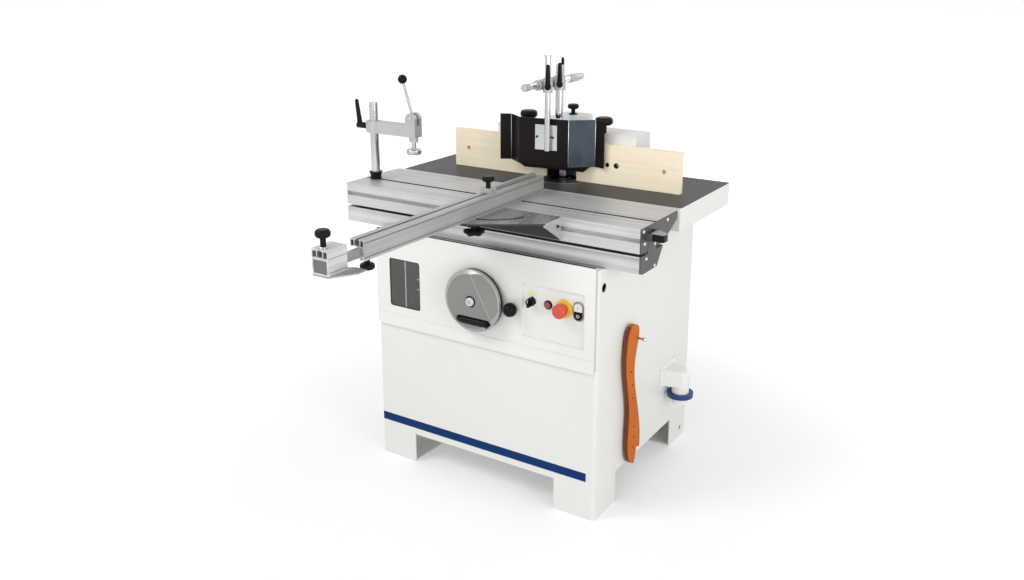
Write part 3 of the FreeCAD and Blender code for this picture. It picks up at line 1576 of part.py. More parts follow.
def bracket_knob():
    foot = Vector(spindle_x, bracket_front + bracket_knob_setback, bracket_deck)
    knob = mushroom_knob(small_knob_head, small_knob_height, small_knob_stem, small_knob_length, foot,
                         Vector(0, 0, 1))
    washer = upright(2 * small_knob_stem, foot.x, foot.y, foot.z + seat_gap,
                     foot.z + seat_gap + hood_sheet)
    return united([knob, washer])


def guard_post():
    return upright(post_radius, post_x, post_y, bracket_deck, bracket_deck + post_length)


def lever_direction():
    turn = math.radians(lever_angle)
    return Vector(math.sin(turn), -math.cos(turn), 0)


def cross_clamp(x, y, radius):
    # A boss round an upright bar, joined to a boss round the arm that runs past it.
    half = cross_clamp_height / 2
    low, high = arm_height - half, arm_height + half
    upright_boss = upright(radius + clamp_wall, x, y, low, high)
    start = Vector(arm_x, y - half, arm_height)
    arm_boss = rod(arm_radius + clamp_wall, start, start + Vector(0, cross_clamp_height, 0))
    pad = rod(lever_hub_radius, Vector(x, y, arm_height),
              lever_foot(x, y, radius) - lever_direction() * seat_gap)
    bar = upright(radius + running_gap, x, y, low - overrun, high + overrun)
    past = Vector(0, half + overrun, 0)
    middle = Vector(arm_x, y, arm_height)
    arm = rod(arm_radius + running_gap, middle - past, middle + past)
    return united([upright_boss, arm_boss, pad]).cut(bar).cut(arm)


def lever_foot(x, y, radius):
    return Vector(x, y, arm_height) + lever_direction() * (radius + 2 * clamp_wall + seat_gap)


def clamp_lever_on(x, y, radius):
    return ratchet_lever(lever_hub_length, lever_length, lever_foot(x, y, radius), lever_direction(),
                         Vector(0, 0, 1))


def guard_arm():
    return rod(arm_radius, Vector(arm_x, arm_front, arm_height), Vector(arm_x, arm_back, arm_height))


def turned_guard(shape):
    shape.rotate(Vector(0, 0, 0), Vector(0, 0, 1), guard_turn)
    shape.translate(Vector(rod_x, rod_y, 0))
    return shape


def guard_rod():
    bar = upright(rod_radius, 0, 0, rod_bottom, rod_top)
    cap = upright(rod_cap_radius, 0, 0, rod_top - rod_cap_height, rod_top)
    half = rod_plate_width / 2
    plate_top = rod_bottom + rod_plate_height
    plate = block(rod_plate_offset - half, rod_plate_offset + half, rod_radius, guard_face_y, rod_bottom,
                  plate_top)
    tie = block(-rod_radius / 2, rod_radius / 2, 0, guard_face_y, rod_bottom, plate_top)
    return turned_guard(united([bar, cap, plate, tie]))


def guard_path():
    left_fold, right_fold = guard_left - guard_left_facet, guard_right + guard_right_facet
    tip_y = guard_fold_y - guard_flange_y
    return [(left_fold - guard_flange_x, tip_y), (left_fold, guard_fold_y), (guard_left, guard_face_y),
            (guard_right, guard_face_y), (right_fold, guard_fold_y),
            (right_fold + guard_flange_x, tip_y)]


def guard_shell():
    shell = folded_sheet(guard_path(), guard_sheet, guard_bottom, guard_bottom + guard_height)
    back = guard_face_y + skirt_setback
    share = skirt_setback / guard_fold_depth
    left, right = guard_left - guard_left_facet * share, guard_right + guard_right_facet * share
    low = guard_bottom - skirt_drop
    corner, high = low + skirt_chamfer_rise, low + skirt_height
    skirt = section_y([(left + skirt_chamfer_left, low), (right - skirt_chamfer_right, low),
                       (right, corner), (right, high), (left, high), (left, corner)], back,
                      back + guard_sheet)
    return turned_guard(united([shell, skirt]))


# Push stick, hook and power inlet
def stick_place(shares):
    along, up = shares
    return Vector(half_width + stick_stand_off, hook_y - stick_hole_setback + along * stick_width,
                  hook_z - stick_hole_rise + up * stick_length)


def push_stick():
    # A curved outline with a bird's mouth cut into its lower end.
    x0 = half_width + stick_stand_off
    points = [stick_place(shares) for shares in stick_outline_shares]
    curve = Part.BSplineCurve()
    curve.interpolate(points)
    mouth = stick_place(stick_notch_shares)
    edges = [curve.toShape(), Part.makeLine(points[-1], mouth), Part.makeLine(mouth, points[0])]
    stick = Part.Face(Part.Wire(edges)).extrude(Vector(stick_thickness, 0, 0))
    holes = [(Vector(x0, hook_y, hook_z), stick_hole_radius)]
    holes += [(stick_place(shares), stick_small_hole) for shares in stick_hole_shares]
    for place, radius in holes:
        start = place - Vector(overrun, 0, 0)
        stick = stick.cut(rod(radius, start, start + Vector(stick_thickness + 2 * overrun, 0, 0)))
    return stick


def stick_hook():
    foot = Vector(half_width, hook_y, hook_z)
    flange = rod(hook_flange_radius, foot, foot + Vector(hook_flange, 0, 0))
    pin = rod(hook_radius, foot, Vector(hook_end, hook_y, hook_z))
    return united([flange, pin, Part.makeSphere(hook_ball_radius, Vector(hook_end, hook_y, hook_z))])


def inlet_housing():
    x0 = half_width
    axis = x0 + inlet_axis
    half = inlet_width / 2
    plan = loop_face(x0, half, axis, inlet_nose_radius, inlet_y, inlet_bottom)
    body = plan.extrude(Vector(0, 0, inlet_top - inlet_bottom))
    body = body.cut(block(x0 - inlet_width, x0, inlet_y - inlet_width, inlet_y + inlet_width,
                          inlet_bottom - overrun, inlet_top + overrun))
    rims = [e for e in body.Edges if e.CenterOfMass.z > inlet_top - running_gap
            and e.CenterOfMass.x > x0 + running_gap]
    body = body.makeFillet(inlet_round, rims)
    tail = inlet_bottom - sleeve_length
    sleeve = upright(collar_bore - seat_gap, axis, inlet_y, tail, inlet_bottom)
    bore = upright(collar_bore - inlet_sleeve_wall, axis, inlet_y, tail - overrun, inlet_bottom)
    pins = []
    for i in range(pin_count):
        turn = 2 * math.pi * i / pin_count
        pins.append(upright(pin_radius, axis + pin_circle * math.cos(turn),
                            inlet_y + pin_circle * math.sin(turn), tail + sleeve_length / 3,
                            inlet_bottom + overrun))
    return united([body, sleeve.cut(bore)] + pins)


def inlet_collar():
    axis = half_width + inlet_axis
    top = inlet_bottom - collar_drop
    return upright_tube(collar_radius, collar_bore, axis, inlet_y, top - collar_height, top)


def build_pieces():
    return { "cabinet": united([cabinet(), stick_hook()] + door_hinges()),
            "control_panel": control_panel(), "speed_window": speed_window(), "table": table(),
            "table_rings": table_rings(), "carriage_beam": carriage_beam(),
            "beam_end_plates": beam_end_plates(), "inlet_housing": inlet_housing(),
            "inlet_collar": inlet_collar(), "lift_frame": lift_frame(), "rear_door": rear_door(),
            "door_latch": door_latch(), "handwheel": handwheel(), "handwheel_grip": handwheel_grip(),
            "lock_knob": lock_knob(), "leadscrew": leadscrew(), "quill_carrier": quill_carrier(),
            "motor": motor(), "drive_belt": drive_belt(),
            "spindle": united([spindle(), spindle_pulley()]), "motor_pulley": motor_pulley(),
            "selector_switch": selector_switch(), "lamp_button": lamp_button(),
            "estop_button": estop_button(), "start_button": push_button(True),
            "stop_button": push_button(False), "push_stick": push_stick(), "fence_hood": fence_hood(),
            "left_board": left_board(), "right_board": right_board(), "fence_knob_left": fence_knob(-1),
            "fence_knob_right": fence_knob(1), "guard_bracket": guard_bracket(),
            "bracket_knob": bracket_knob(), "guard_post": guard_post(),
            "post_clamp": cross_clamp(post_x, post_y, post_radius),
            "post_lever": clamp_lever_on(post_x, post_y, post_radius), "guard_arm": guard_arm(),
            "rod_clamp": cross_clamp(rod_x, rod_y, rod_radius),
            "rod_lever": clamp_lever_on(rod_x, rod_y, rod_radius), "guard_rod": guard_rod(),
            "guard_shell": guard_shell(), "carriage": carriage(),
            "carriage_end_plates": carriage_end_plates(), "carriage_latch": carriage_latch(),
            "roller_cage": roller_cage(), "angle_bracket": angle_bracket(), "angle_knob": angle_knob(),
            "mitre_fence": mitre_fence(), "fence_strip": fence_strip(), "strip_knob": strip_knob(),
            "extension_knob": extension_knob(), "fence_extension": united([fence_extension(),
                                                                           stop_pin()]),
            "end_knob": end_knob(), "stop_plate": stop_plate(), "clamp_column": clamp_column(),
            "clamp_arm": clamp_arm(), "clamp_lever": clamp_lever(), "clamp_plunger": clamp_plunger(),
            "clamp_ratchet": clamp_ratchet(), }


def floor_middle(pieces):
    box = Part.makeCompound(list(pieces.values())).optimalBoundingBox()
    return Vector((box.XMin + box.XMax) / 2, (box.YMin + box.YMax) / 2, box.ZMin)


def main():
    pieces = build_pieces()
    origin = floor_middle(pieces)
    os.makedirs("parts", exist_ok=True)
    for name, shape in pieces.items():
        shape.translate(-origin)
        shape.exportStep("parts/" + name + ".step")
    return pieces, origin


if __name__ == "__main__":
    main()
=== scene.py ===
import math
import bmesh
import bpy
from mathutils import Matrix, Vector


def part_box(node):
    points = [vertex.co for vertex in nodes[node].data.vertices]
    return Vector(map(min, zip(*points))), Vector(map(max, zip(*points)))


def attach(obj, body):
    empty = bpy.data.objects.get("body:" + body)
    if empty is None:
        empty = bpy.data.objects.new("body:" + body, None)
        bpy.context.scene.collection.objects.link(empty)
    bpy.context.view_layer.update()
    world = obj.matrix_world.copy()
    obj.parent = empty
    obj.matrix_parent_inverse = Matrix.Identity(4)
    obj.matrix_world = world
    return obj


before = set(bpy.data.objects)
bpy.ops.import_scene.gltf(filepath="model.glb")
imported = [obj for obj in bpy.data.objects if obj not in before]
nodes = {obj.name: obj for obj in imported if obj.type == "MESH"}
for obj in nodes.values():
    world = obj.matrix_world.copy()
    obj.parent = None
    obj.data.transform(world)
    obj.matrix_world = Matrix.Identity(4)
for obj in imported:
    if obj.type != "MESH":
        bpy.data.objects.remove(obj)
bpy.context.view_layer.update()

# Machine frame: millimetres from the floor under the middle of the cabinet, as the solids are measured.
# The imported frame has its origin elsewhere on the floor, so the table's box gives the shift.
MM = 0.001
TABLE_FRONT = -50.0
table_low, table_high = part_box("table")
shift_x = (table_low[0] + table_high[0]) / 2
shift_y = table_low[1] - TABLE_FRONT * MM


def spot(x, y, z):
    return Vector((x * MM + shift_x, y * MM + shift_y, z * MM))


# Directions in the machine frame, and its axes by number
RIGHT = (1, 0, 0)
LEFT = (-1, 0, 0)
FRONT = (0, -1, 0)
BACK = (0, 1, 0)
UP = (0, 0, 1)
DOWN = (0, 0, -1)
X, Y, Z = range(3)

# Material helpers, most of a noise lies between these two values
NOISE_LOW = 0.3
NOISE_HIGH = 0.7


def new_material(name):
    mat = bpy.data.materials.new(name)
    mat.use_nodes = True
    tree = mat.node_tree
    return mat, tree, tree.nodes["Principled BSDF"]


def stretched(axis, share):
    # Texture scale that draws a pattern out along one axis.
    return tuple(share if i == axis else 1 for i in range(3))


def coords(tree, scale=(1, 1, 1)):
    tex = tree.nodes.new("ShaderNodeTexCoord")
    mapping = tree.nodes.new("ShaderNodeMapping")
    mapping.inputs["Scale"].default_value = scale
    tree.links.new(tex.outputs["Object"], mapping.inputs["Vector"])
    return mapping.outputs["Vector"]


def noise(tree, vector, scale, detail=3.0, rough=0.55):
    node = tree.nodes.new("ShaderNodeTexNoise")
    node.inputs["Scale"].default_value = scale
    node.inputs["Detail"].default_value = detail
    node.inputs["Roughness"].default_value = rough
    tree.links.new(vector, node.inputs["Vector"])
    return node.outputs["Fac"]


def blend(tree, first, second, share):
    node = tree.nodes.new("ShaderNodeMix")
    node.inputs["Factor"].default_value = share
    tree.links.new(first, node.inputs["A"])
    tree.links.new(second, node.inputs["B"])
    return node.outputs["Result"]


def ramp(tree, fac, stops):
    node = tree.nodes.new("ShaderNodeValToRGB")
    elements = node.color_ramp.elements
    while len(elements) < len(stops):
        elements.new(0.5)
    for element, (place, colour) in zip(elements, stops):
        element.position = place
        element.color = (*colour, 1)
    tree.links.new(fac, node.inputs["Fac"])
    return node.outputs["Color"]


def two_tone(tree, fac, dark, pale):
    return ramp(tree, fac, [(NOISE_LOW, dark), (NOISE_HIGH, pale)])


def spread(tree, fac, low, high):
    node = tree.nodes.new("ShaderNodeMapRange")
    node.inputs["From Min"].default_value = NOISE_LOW
    node.inputs["From Max"].default_value = NOISE_HIGH
    node.inputs["To Min"].default_value = low
    node.inputs["To Max"].default_value = high
    tree.links.new(fac, node.inputs["Value"])
    return node.outputs["Result"]


def feed(tree, shader, colour, rough):
    tree.links.new(colour, shader.inputs["Base Color"])
    tree.links.new(rough, shader.inputs["Roughness"])


def bump(tree, shader, height, strength, distance):
    node = tree.nodes.new("ShaderNodeBump")
    node.inputs["Strength"].default_value = strength
    node.inputs["Distance"].default_value = distance
    tree.links.new(height, node.inputs["Height"])
    tree.links.new(node.outputs["Normal"], shader.inputs["Normal"])


def tint(colour, share):
    return tuple(c * share for c in colour)


def grained(name, colour, rough, metallic=0.0, grain=(1, 1, 1), scale=400.0, vary=0.05, rough_vary=0.06,
            height=0.15, depth=0.0004, mottle=6.0, **sockets):
    # A finish with a slow mottle in its colour, a fine grain in its roughness and the same grain as relief.
    mat, tree, shader = new_material(name)
    slow = noise(tree, coords(tree), mottle, detail=4.0)
    fine = noise(tree, coords(tree, grain), scale, detail=2.0)
    feed(tree, shader, two_tone(tree, slow, tint(colour, 1 - vary), tint(colour, 1 + vary)),
         spread(tree, fine, rough - rough_vary, rough + rough_vary))
    bump(tree, shader, fine, height, depth)
    shader.inputs["Metallic"].default_value = metallic
    for socket, value in sockets.items():
        shader.inputs[socket.replace("_", " ")].default_value = value
    return mat


def extruded(name, colour, axis):
    # Clear anodised aluminium: broad die bands, fine draw lines and a slow mottle.
    mat, tree, shader = new_material(name)
    drawn = stretched(axis, 0.008)
    bands = noise(tree, coords(tree, drawn), 60, rough=0.7)
    fine = noise(tree, coords(tree, drawn), 900, detail=2.0)
    slow = noise(tree, coords(tree, stretched(axis, 0.6)), 5.0)
    tones = [(0.34, tint(colour, 0.70)), (0.5, colour), (0.66, tint(colour, 1.18))]
    feed(tree, shader, ramp(tree, blend(tree, bands, slow, 0.35), tones), spread(tree, fine, 0.36, 0.52))
    bump(tree, shader, fine, 0.14, 0.0003)
    shader.inputs["Metallic"].default_value = 0.60
    return mat


def milled_top():
    # Dark ground iron with shallow cutter lines that run the length of the table.
    mat, tree, shader = new_material("milled_top")
    lines = noise(tree, coords(tree, ALONG_X), 420)
    slow = noise(tree, coords(tree), 5.0, detail=4.0)
    tones = [(0.35, (0.030, 0.0295, 0.028)), (0.65, (0.070, 0.069, 0.066))]
    feed(tree, shader, ramp(tree, blend(tree, lines, slow, 0.35), tones), spread(tree, lines, 0.38, 0.52))
    bump(tree, shader, lines, 0.25, 0.0005)
    shader.inputs["Metallic"].default_value = 0.25
    shader.inputs["Specular IOR Level"].default_value = 0.16
    return mat


def plywood():
    # Pale face veneer with long grain.
    mat, tree, shader = new_material("pale_plywood")
    grain = noise(tree, coords(tree, stretched(X, 0.035)), 120, detail=5.0, rough=0.65)
    tones = [(0.25, (0.87, 0.745, 0.54)), (0.5, (0.925, 0.82, 0.625)), (0.75, (0.955, 0.87, 0.69))]
    feed(tree, shader, ramp(tree, grain, tones), spread(tree, grain, 0.50, 0.62))
    bump(tree, shader, grain, 0.15, 0.0005)
    return mat


def smoked():
    # Near-black glossy pane, faintly uneven.
    mat, tree, shader = new_material("smoked_pane")
    faint = noise(tree, coords(tree), 30, detail=2.0)
    feed(tree, shader, two_tone(tree, faint, (0.026, 0.026, 0.022), (0.038, 0.038, 0.033)),
         spread(tree, faint, 0.06, 0.10))
    shader.inputs["Coat Weight"].default_value = 0.2
    return mat


def clear_plug():
    # Half clear plastic.
    mat, tree, shader = new_material("clear_plug")
    faint = noise(tree, coords(tree), 120, detail=2.0)
    feed(tree, shader, two_tone(tree, faint, (0.66, 0.67, 0.68), (0.80, 0.81, 0.82)),
         spread(tree, faint, 0.10, 0.22))
    shader.inputs["Transmission Weight"].default_value = 0.45
    shader.inputs["IOR"].default_value = 1.49
    return mat


ALONG_X = stretched(X, 0.02)
ALONG_Y = stretched(Y, 0.02)
ALONG_Z = stretched(Z, 0.02)

# Coated sheet
white = grained("white_coat", (0.75, 0.748, 0.725), 0.40, scale=900, vary=0.012, height=0.10, mottle=3)
panel_white = grained("panel_coat", (0.78, 0.778, 0.755), 0.34, scale=900, vary=0.012, height=0.08,
                      mottle=3)
# Painted shade: a grey coat for the shade in the panel's crease and beside the panel's proud right edge.
crease_painted_shade = grained("coat_painted_shade", (0.50, 0.498, 0.485), 0.40, scale=900, vary=0.012, height=0.08,
                      mottle=3)
stripe_blue = grained("stripe_blue", (0.003, 0.031, 0.128), 0.46, scale=900, vary=0.04, height=0.06,
                      Specular_IOR_Level=0.10)
guard_coat = grained("guard_coat", (0.0075, 0.0052, 0.0046), 0.34, scale=700, vary=0.2, height=0.05,
                     mottle=8, Specular_IOR_Level=0.12)
# Painted shade: near black for the shade in the table's bore, on the quill, inside the hood, under the
# angle bracket and in the board holes.
painted_shade_black = grained("painted_shade_black", (0.020, 0.019, 0.018), 0.60, scale=500, vary=0.2, height=0.20)

# Aluminium
alu_x = extruded("anodised_along_x", (0.53, 0.53, 0.53), X)
alu_y = extruded("anodised_along_y", (0.42, 0.42, 0.415), Y)
alu_bright = extruded("anodised_block", (0.60, 0.60, 0.595), Y)
# Painted shade: a darker copy of the extruded aluminium for the extension bar's shaded side.
alu_bar_painted_shade = extruded("anodised_bar_painted_shade", (0.25, 0.25, 0.248), Y)
# Painted shade: dark aluminium for the shade in the carriage's top slot, in the gap above the beam and in
# grooves drawn as lines.
alu_painted_shade = grained("anodised_painted_shade", (0.16, 0.162, 0.165), 0.45, metallic=0.85, grain=ALONG_X, scale=900,
                   vary=0.08, rough_vary=0.08, height=0.12, depth=0.0003, mottle=9)
# Painted light: a pale, barely metallic tone so the front slot's shaded inside looks lit.
slot_painted_light = grained("anodised_front_slot_painted_light", (0.62, 0.62, 0.615), 0.50, metallic=0.1, grain=ALONG_X,
                     scale=900, height=0.10, depth=0.0003, mottle=9)
alu_plain = grained("anodised_plate", (0.60, 0.61, 0.62), 0.40, metallic=0.80, scale=600, rough_vary=0.08,
                    height=0.10, depth=0.0003, mottle=9)
bracket_top = grained("bracket_plate", (0.33, 0.33, 0.325), 0.27, metallic=0.9, grain=ALONG_Y, scale=300,
                      vary=0.07, rough_vary=0.05, height=0.05, depth=0.0002, mottle=8)
plate_grey = grained("stop_plate", (0.33, 0.33, 0.325), 0.42, metallic=0.7, scale=600, vary=0.06,
                     height=0.10)
clamp_cast = grained("clamp_cast", (0.46, 0.46, 0.455), 0.48, metallic=0.55, scale=500, vary=0.06,
                     rough_vary=0.08, height=0.30, depth=0.0006, mottle=14)

# Iron and steel
table_top = milled_top()
chrome = grained("ground_chrome", (0.62, 0.625, 0.63), 0.12, metallic=1.0, scale=700, vary=0.03,
                 rough_vary=0.05, height=0.03, depth=0.0002, mottle=12)
tube_chrome = grained("tube_chrome", (0.50, 0.505, 0.51), 0.15, metallic=1.0, grain=ALONG_Z, scale=700,
                      vary=0.04, rough_vary=0.05, height=0.03, depth=0.0002, mottle=12)
lever_steel = grained("lever_rod", (0.40, 0.405, 0.41), 0.26, metallic=1.0, grain=ALONG_Z, scale=500,
                      vary=0.06, height=0.06, depth=0.0003, mottle=12)
steel = grained("machined_steel", (0.46, 0.47, 0.48), 0.30, metallic=1.0, grain=ALONG_Z, scale=500,
                vary=0.06, rough_vary=0.08, height=0.10, depth=0.0003, mottle=12)
# Painted reflection: blue grey for the sky mirrored in the glossy black paint of the guard's right facet.
facet_painted_reflection = grained("guard_facet_painted_reflection", (0.046, 0.060, 0.076), 0.22, metallic=0.75, grain=ALONG_Z, scale=300,
                      vary=0.22, rough_vary=0.07, height=0.05, depth=0.0003, mottle=18)
# Painted highlight: pale metal for thin rods along the guard's bends.
bend_painted_highlight = grained("guard_bend_painted_highlight", (0.60, 0.62, 0.64), 0.25, metallic=0.9, scale=700, vary=0.12,
                     height=0.05, mottle=40)
# Painted shade: near black for the shade under the hood on the table rings and in the bore on the spindle.
ring_painted_shade = grained("rings_painted_shade", (0.010, 0.0095, 0.009), 0.48, scale=600, vary=0.12, height=0.08,
                    Specular_IOR_Level=0.08)
hole_screw = grained("hole_screw", (0.66, 0.50, 0.29), 0.45, metallic=0.2, scale=600, vary=0.12,
                     height=0.08)
screw_zinc = grained("screw_zinc", (0.78, 0.78, 0.76), 0.24, metallic=0.9, scale=800, height=0.10)
dark_screw = grained("dark_screw", (0.05, 0.05, 0.052), 0.35, metallic=0.9, scale=800, vary=0.1,
                     height=0.10)
latch_grey = grained("latch_grey", (0.30, 0.30, 0.295), 0.38, metallic=0.5, scale=600, vary=0.08,
                     height=0.10)
cast_grey = grained("primed_casting", (0.16, 0.165, 0.17), 0.62, scale=260, vary=0.10, height=0.5,
                    depth=0.0012)
motor_grey = grained("motor_paint", (0.10, 0.125, 0.15), 0.45, vary=0.08, height=0.25)

# Handwheel
wheel_grey = grained("wheel_face", (0.215, 0.213, 0.205), 0.36, metallic=0.25, scale=900, vary=0.06,
                     height=0.10, mottle=9)
# Painted highlight: a lighter grey for the handwheel's bevel, rim band and ridge.
wheel_rim_painted_highlight = grained("wheel_rim_painted_highlight", (0.36, 0.357, 0.345), 0.32, metallic=0.25, scale=900, vary=0.06,
                    height=0.10, mottle=9)
# Painted shade: near black on the wheel's outer side for the shadow crescent at its edge.
wheel_side_painted_shade = grained("wheel_side_painted_shade", (0.016, 0.016, 0.015), 0.45, scale=900, vary=0.10, height=0.10,
                     Specular_IOR_Level=0.25)
hub_white = grained("hub_ring", (0.72, 0.72, 0.72), 0.30, scale=600, vary=0.02, height=0.05)
hub_grey = grained("hub_cap", (0.42, 0.42, 0.41), 0.32, scale=600, vary=0.03, height=0.05)

# Plastic, rubber, wood and glass
end_grey = grained("end_grey", (0.062, 0.062, 0.060), 0.42, scale=800, vary=0.08, Specular_IOR_Level=0.30)
black = grained("black_plastic", (0.007, 0.007, 0.007), 0.36, scale=900, vary=0.15, height=0.12,
                Specular_IOR_Level=0.10)
grey_plastic = grained("grey_plastic", (0.27, 0.275, 0.28), 0.45, scale=1000, vary=0.03)
cover_grey = grained("cover_grey", (0.130, 0.131, 0.130), 0.45, scale=1000)
orange = grained("orange_plastic", (0.53, 0.125, 0.006), 0.45, scale=500, vary=0.10, height=0.20,
                 Specular_IOR_Level=0.10)
# Painted shade: dark orange for the push stick's shaded edge.
orange_painted_shade = grained("orange_edge_painted_shade", (0.16, 0.034, 0.005), 0.45, scale=500, vary=0.08, height=0.20,
                      Specular_IOR_Level=0.30)
red = grained("red_plastic", (0.58, 0.075, 0.030), 0.34, scale=900, height=0.05)
yellow = grained("yellow_plastic", (0.84, 0.56, 0.06), 0.42, scale=900, vary=0.04, height=0.08)
blue = grained("blue_plastic", (0.022, 0.046, 0.175), 0.42, scale=700, vary=0.06, Specular_IOR_Level=0.30)
light = grained("light_plastic", (0.80, 0.80, 0.79), 0.38, scale=800, vary=0.02, height=0.10)
lamp_white = grained("lamp_white", (0.70, 0.69, 0.66), 0.30, scale=900, vary=0.03, height=0.04)
lamp_red = grained("lamp_red", (0.24, 0.024, 0.016), 0.16, scale=500, vary=0.15, height=0.05,
                   Coat_Weight=0.6)
pale_yellow = grained("plain_label", (0.82, 0.80, 0.42), 0.45, scale=900, vary=0.03, height=0.05)
line_grey = grained("pane_line", (0.30, 0.31, 0.30), 0.40, scale=300, vary=0.12, height=0.05, mottle=60)
mark_white = grained("mark_white", (0.80, 0.80, 0.79), 0.40, scale=900, vary=0.02, height=0.04)
mark_grey = grained("mark_grey", (0.25, 0.25, 0.25), 0.45, scale=900, height=0.04)
rubber = grained("belt_rubber", (0.018, 0.018, 0.018), 0.75, scale=700, vary=0.2, height=0.25)
wood = plywood()
pane = smoked()
plug_clear = clear_plug()

looks = {
    white: "cabinet table fence_hood guard_bracket rear_door",
    panel_white: "control_panel",
    pane: "speed_window",
    steel: "table_rings leadscrew spindle roller_cage clamp_plunger",
    alu_x: "carriage carriage_beam",
    alu_y: "mitre_fence fence_strip fence_extension",
    alu_plain: "angle_bracket",
    plate_grey: "stop_plate",
    end_grey: "beam_end_plates carriage_end_plates",
    black: "door_latch handwheel_grip lock_knob selector_switch fence_knob_left fence_knob_right "
           "bracket_knob post_lever rod_lever carriage_latch angle_knob strip_knob extension_knob "
           "end_knob clamp_ratchet clamp_lever stop_button",
    wheel_grey: "handwheel",
    chrome: "guard_arm",
    tube_chrome: "guard_post guard_rod clamp_column",
    guard_coat: "guard_shell",
    clamp_cast: "clamp_arm post_clamp rod_clamp",
    cast_grey: "lift_frame quill_carrier motor_pulley",
    motor_grey: "motor",
    rubber: "drive_belt",
    wood: "left_board right_board",
    orange: "push_stick",
    red: "estop_button",
    lamp_red: "lamp_button",
    lamp_white: "start_button",
    blue: "inlet_collar",
    light: "inlet_housing",
}
for mat, names in looks.items():
    for name in names.split():
        data = nodes[name].data
        data.materials.clear()
        data.materials.append(mat)


def repaint(name, mat, test):
    # Gives the faces that pass the test another finish, the test reads a face's middle (mm) and normal.
    data = nodes[name].data
    data.materials.append(mat)
    index = len(data.materials) - 1
    for face in data.polygons:
        middle = (face.center - Vector((shift_x, shift_y, 0))) / MM
        if test(middle, face.normal):
            face.material_index = index


# Places on the machine, in millimetres
TABLE_Z = 900.0
SPINDLE = (18.0, 124.0)
ARBOR_REACH = 17.0
OUTER_RING = 92.0
QUILL_SEEN = 840.0

# Cabinet and panel, a place of four values is left, right, low and high
CABINET_FRONT = -337.5
CABINET_SIDE = 395.5
HOOK = (-124.0, 509.0)
HOOK_REACH = 12.0
STRIPE = (-390.0, 367.0, 121.0, 148.0)
SHADE_STRIP_LOW = (-386.0, -343.8, 772.0)
SHADE_STRIP_HIGH = (386.0, -337.8, 779.8)
PANEL_FRONT = -346.5
PANEL_RIGHT = 390.0
CREASE_Z = 505.0
CREASE_HALF = 6.0
PANE_FRONT = -344.0
WINDOW = (-338.0, -219.0, 533.0, 690.0)
WINDOW_CORNER = 9.0
WINDOW_LINE = (-278.5, -273.5, 536.0, 687.0)
TICK_RUN = (-231.0, -222.5)
TICK_HALF = 2.0
TICKS_Z = (603.0, 636.0)
SHADE_STRIP_WIDE = 3.5

# Inlet on the right side, its flange is front, back, low and high
INLET_FLANGE = (106.0, 234.0, 240.0, 321.0)

# Controls, a ring is its inner radius, outer radius and height
RECESS_FLOOR = -340.5
CONTROLS_Z = 644.0
SELECTOR_X = 182.3
SELECTOR_FACE = RECESS_FLOOR - 25.2
SELECTOR_RING = (12.7, 17.0, 3.0)
LAMP_X = 236.8
LAMP_RING = (10.5, 13.5, 3.0)
STOP_X = 289.9
STOP_COLLAR = 27.5
PUSH_X = 335.8
PUSH_RISE = 12.0
PUSH_RING = (13.0, 17.0, 4.5)
PUSH_FACE = RECESS_FLOOR - 6.9
ZERO_RING = (3.2, 4.8, 0.4)

# Handwheel with its folding grip
WHEEL_Z = 622.0
WHEEL_FACE = -388.5
WHEEL_SIDE = 92.0
FACE_RADIUS = 84.0
BEVEL_SLOPE = 0.8
HUB_FACE = -394.5
HUB_REACH = 12.8
GRIP_X = 56.0
GRIP_Y = -388.5
GRIP_Z = 562.0
GRIP_PIN = 3.4
POCKET_LEFT = -60.0
POCKET_RIGHT = 68.0
POCKET_HALF = 12.0
POCKET_REACH = 12.8
POCKET_TIP = -40.0
POCKET_CORNER = 8.0
HUB_SHADE_RING = (13.2, 17.5, 0.9)
RIM_BAND = (93.0, 94.7, 11.6)
RIM_BAND_Y = WHEEL_FACE + 19.5

# Carriage, beam, mitre fence and clamp
CARRIAGE_FRONT = -315.0
CARRIAGE_RUN = (-525.0, 501.0)
SLOT_Y = -219.0
TOP_SLOT_HALF = 12.5
TOP_SLOT_LOW = 880.0
FRONT_SLOT = (857.0, 878.0)
FRONT_SLOT_DEEP = 15.5
BEAM_TOP = 823.0
BRACKET_UNDER = 894.0
CHEEK_LEFT = 257.5
STAR_KNOB = (69.1, -463.7, 877.3)
FENCE_RIGHT = 73.6
FENCE_END = -923.0
FENCE_BACK = -94.0
BLOCK_FRONT = -1043.0
BLOCK_BACK = -978.0
BLOCK_LEFT = 19.0
BLOCK_RIGHT = 69.0
BLOCK_TOP = 955.0
BLOCK_GROOVES = (903.0, 936.0)
FENCE_GROOVES = (909.0, 945.0)
END_COVER_LOW = (23.3, -1041.5, 899.3)
END_COVER_HIGH = (64.7, -1039.0, 930.7)
END_KNOB = (44.0, -1029.0)
END_WASHER = (7.4, 11.5, 4.0)
COLUMN_FOOT = TABLE_Z + 25.0
CLAMP_BALL = Vector((-366.6, -219.0, 1230.0))
BALL_REACH = 14.8
CAM_PIN = (-328.0, SLOT_Y - 18.0, 1109.0)

# Fence and guard
HOOD_X = (-234.0, 270.0)
HOOD_Y = (123.0, 228.5)
HOOD_TOP = 1055.5
BOARD_FRONT = 113.0
BOARD_HOLES = (-182.0, -151.0, 189.0, 220.0)
BOARD_HOLE_REACH = 9.5
BOARD_HOLE_Z = 965.0
END_HOLES = (-343.0, 381.0)
BOARD_SCREW = 6.4
GUARD_CENTRE = (18.0, 17.0)
GUARD_TURN = math.radians(7)
GUARD_LOW = 955.0
FACET_TOP = 1106.0
FACET_LEFT = 60.0
ARM_X = -8.5
ARM_Z = 1212.0

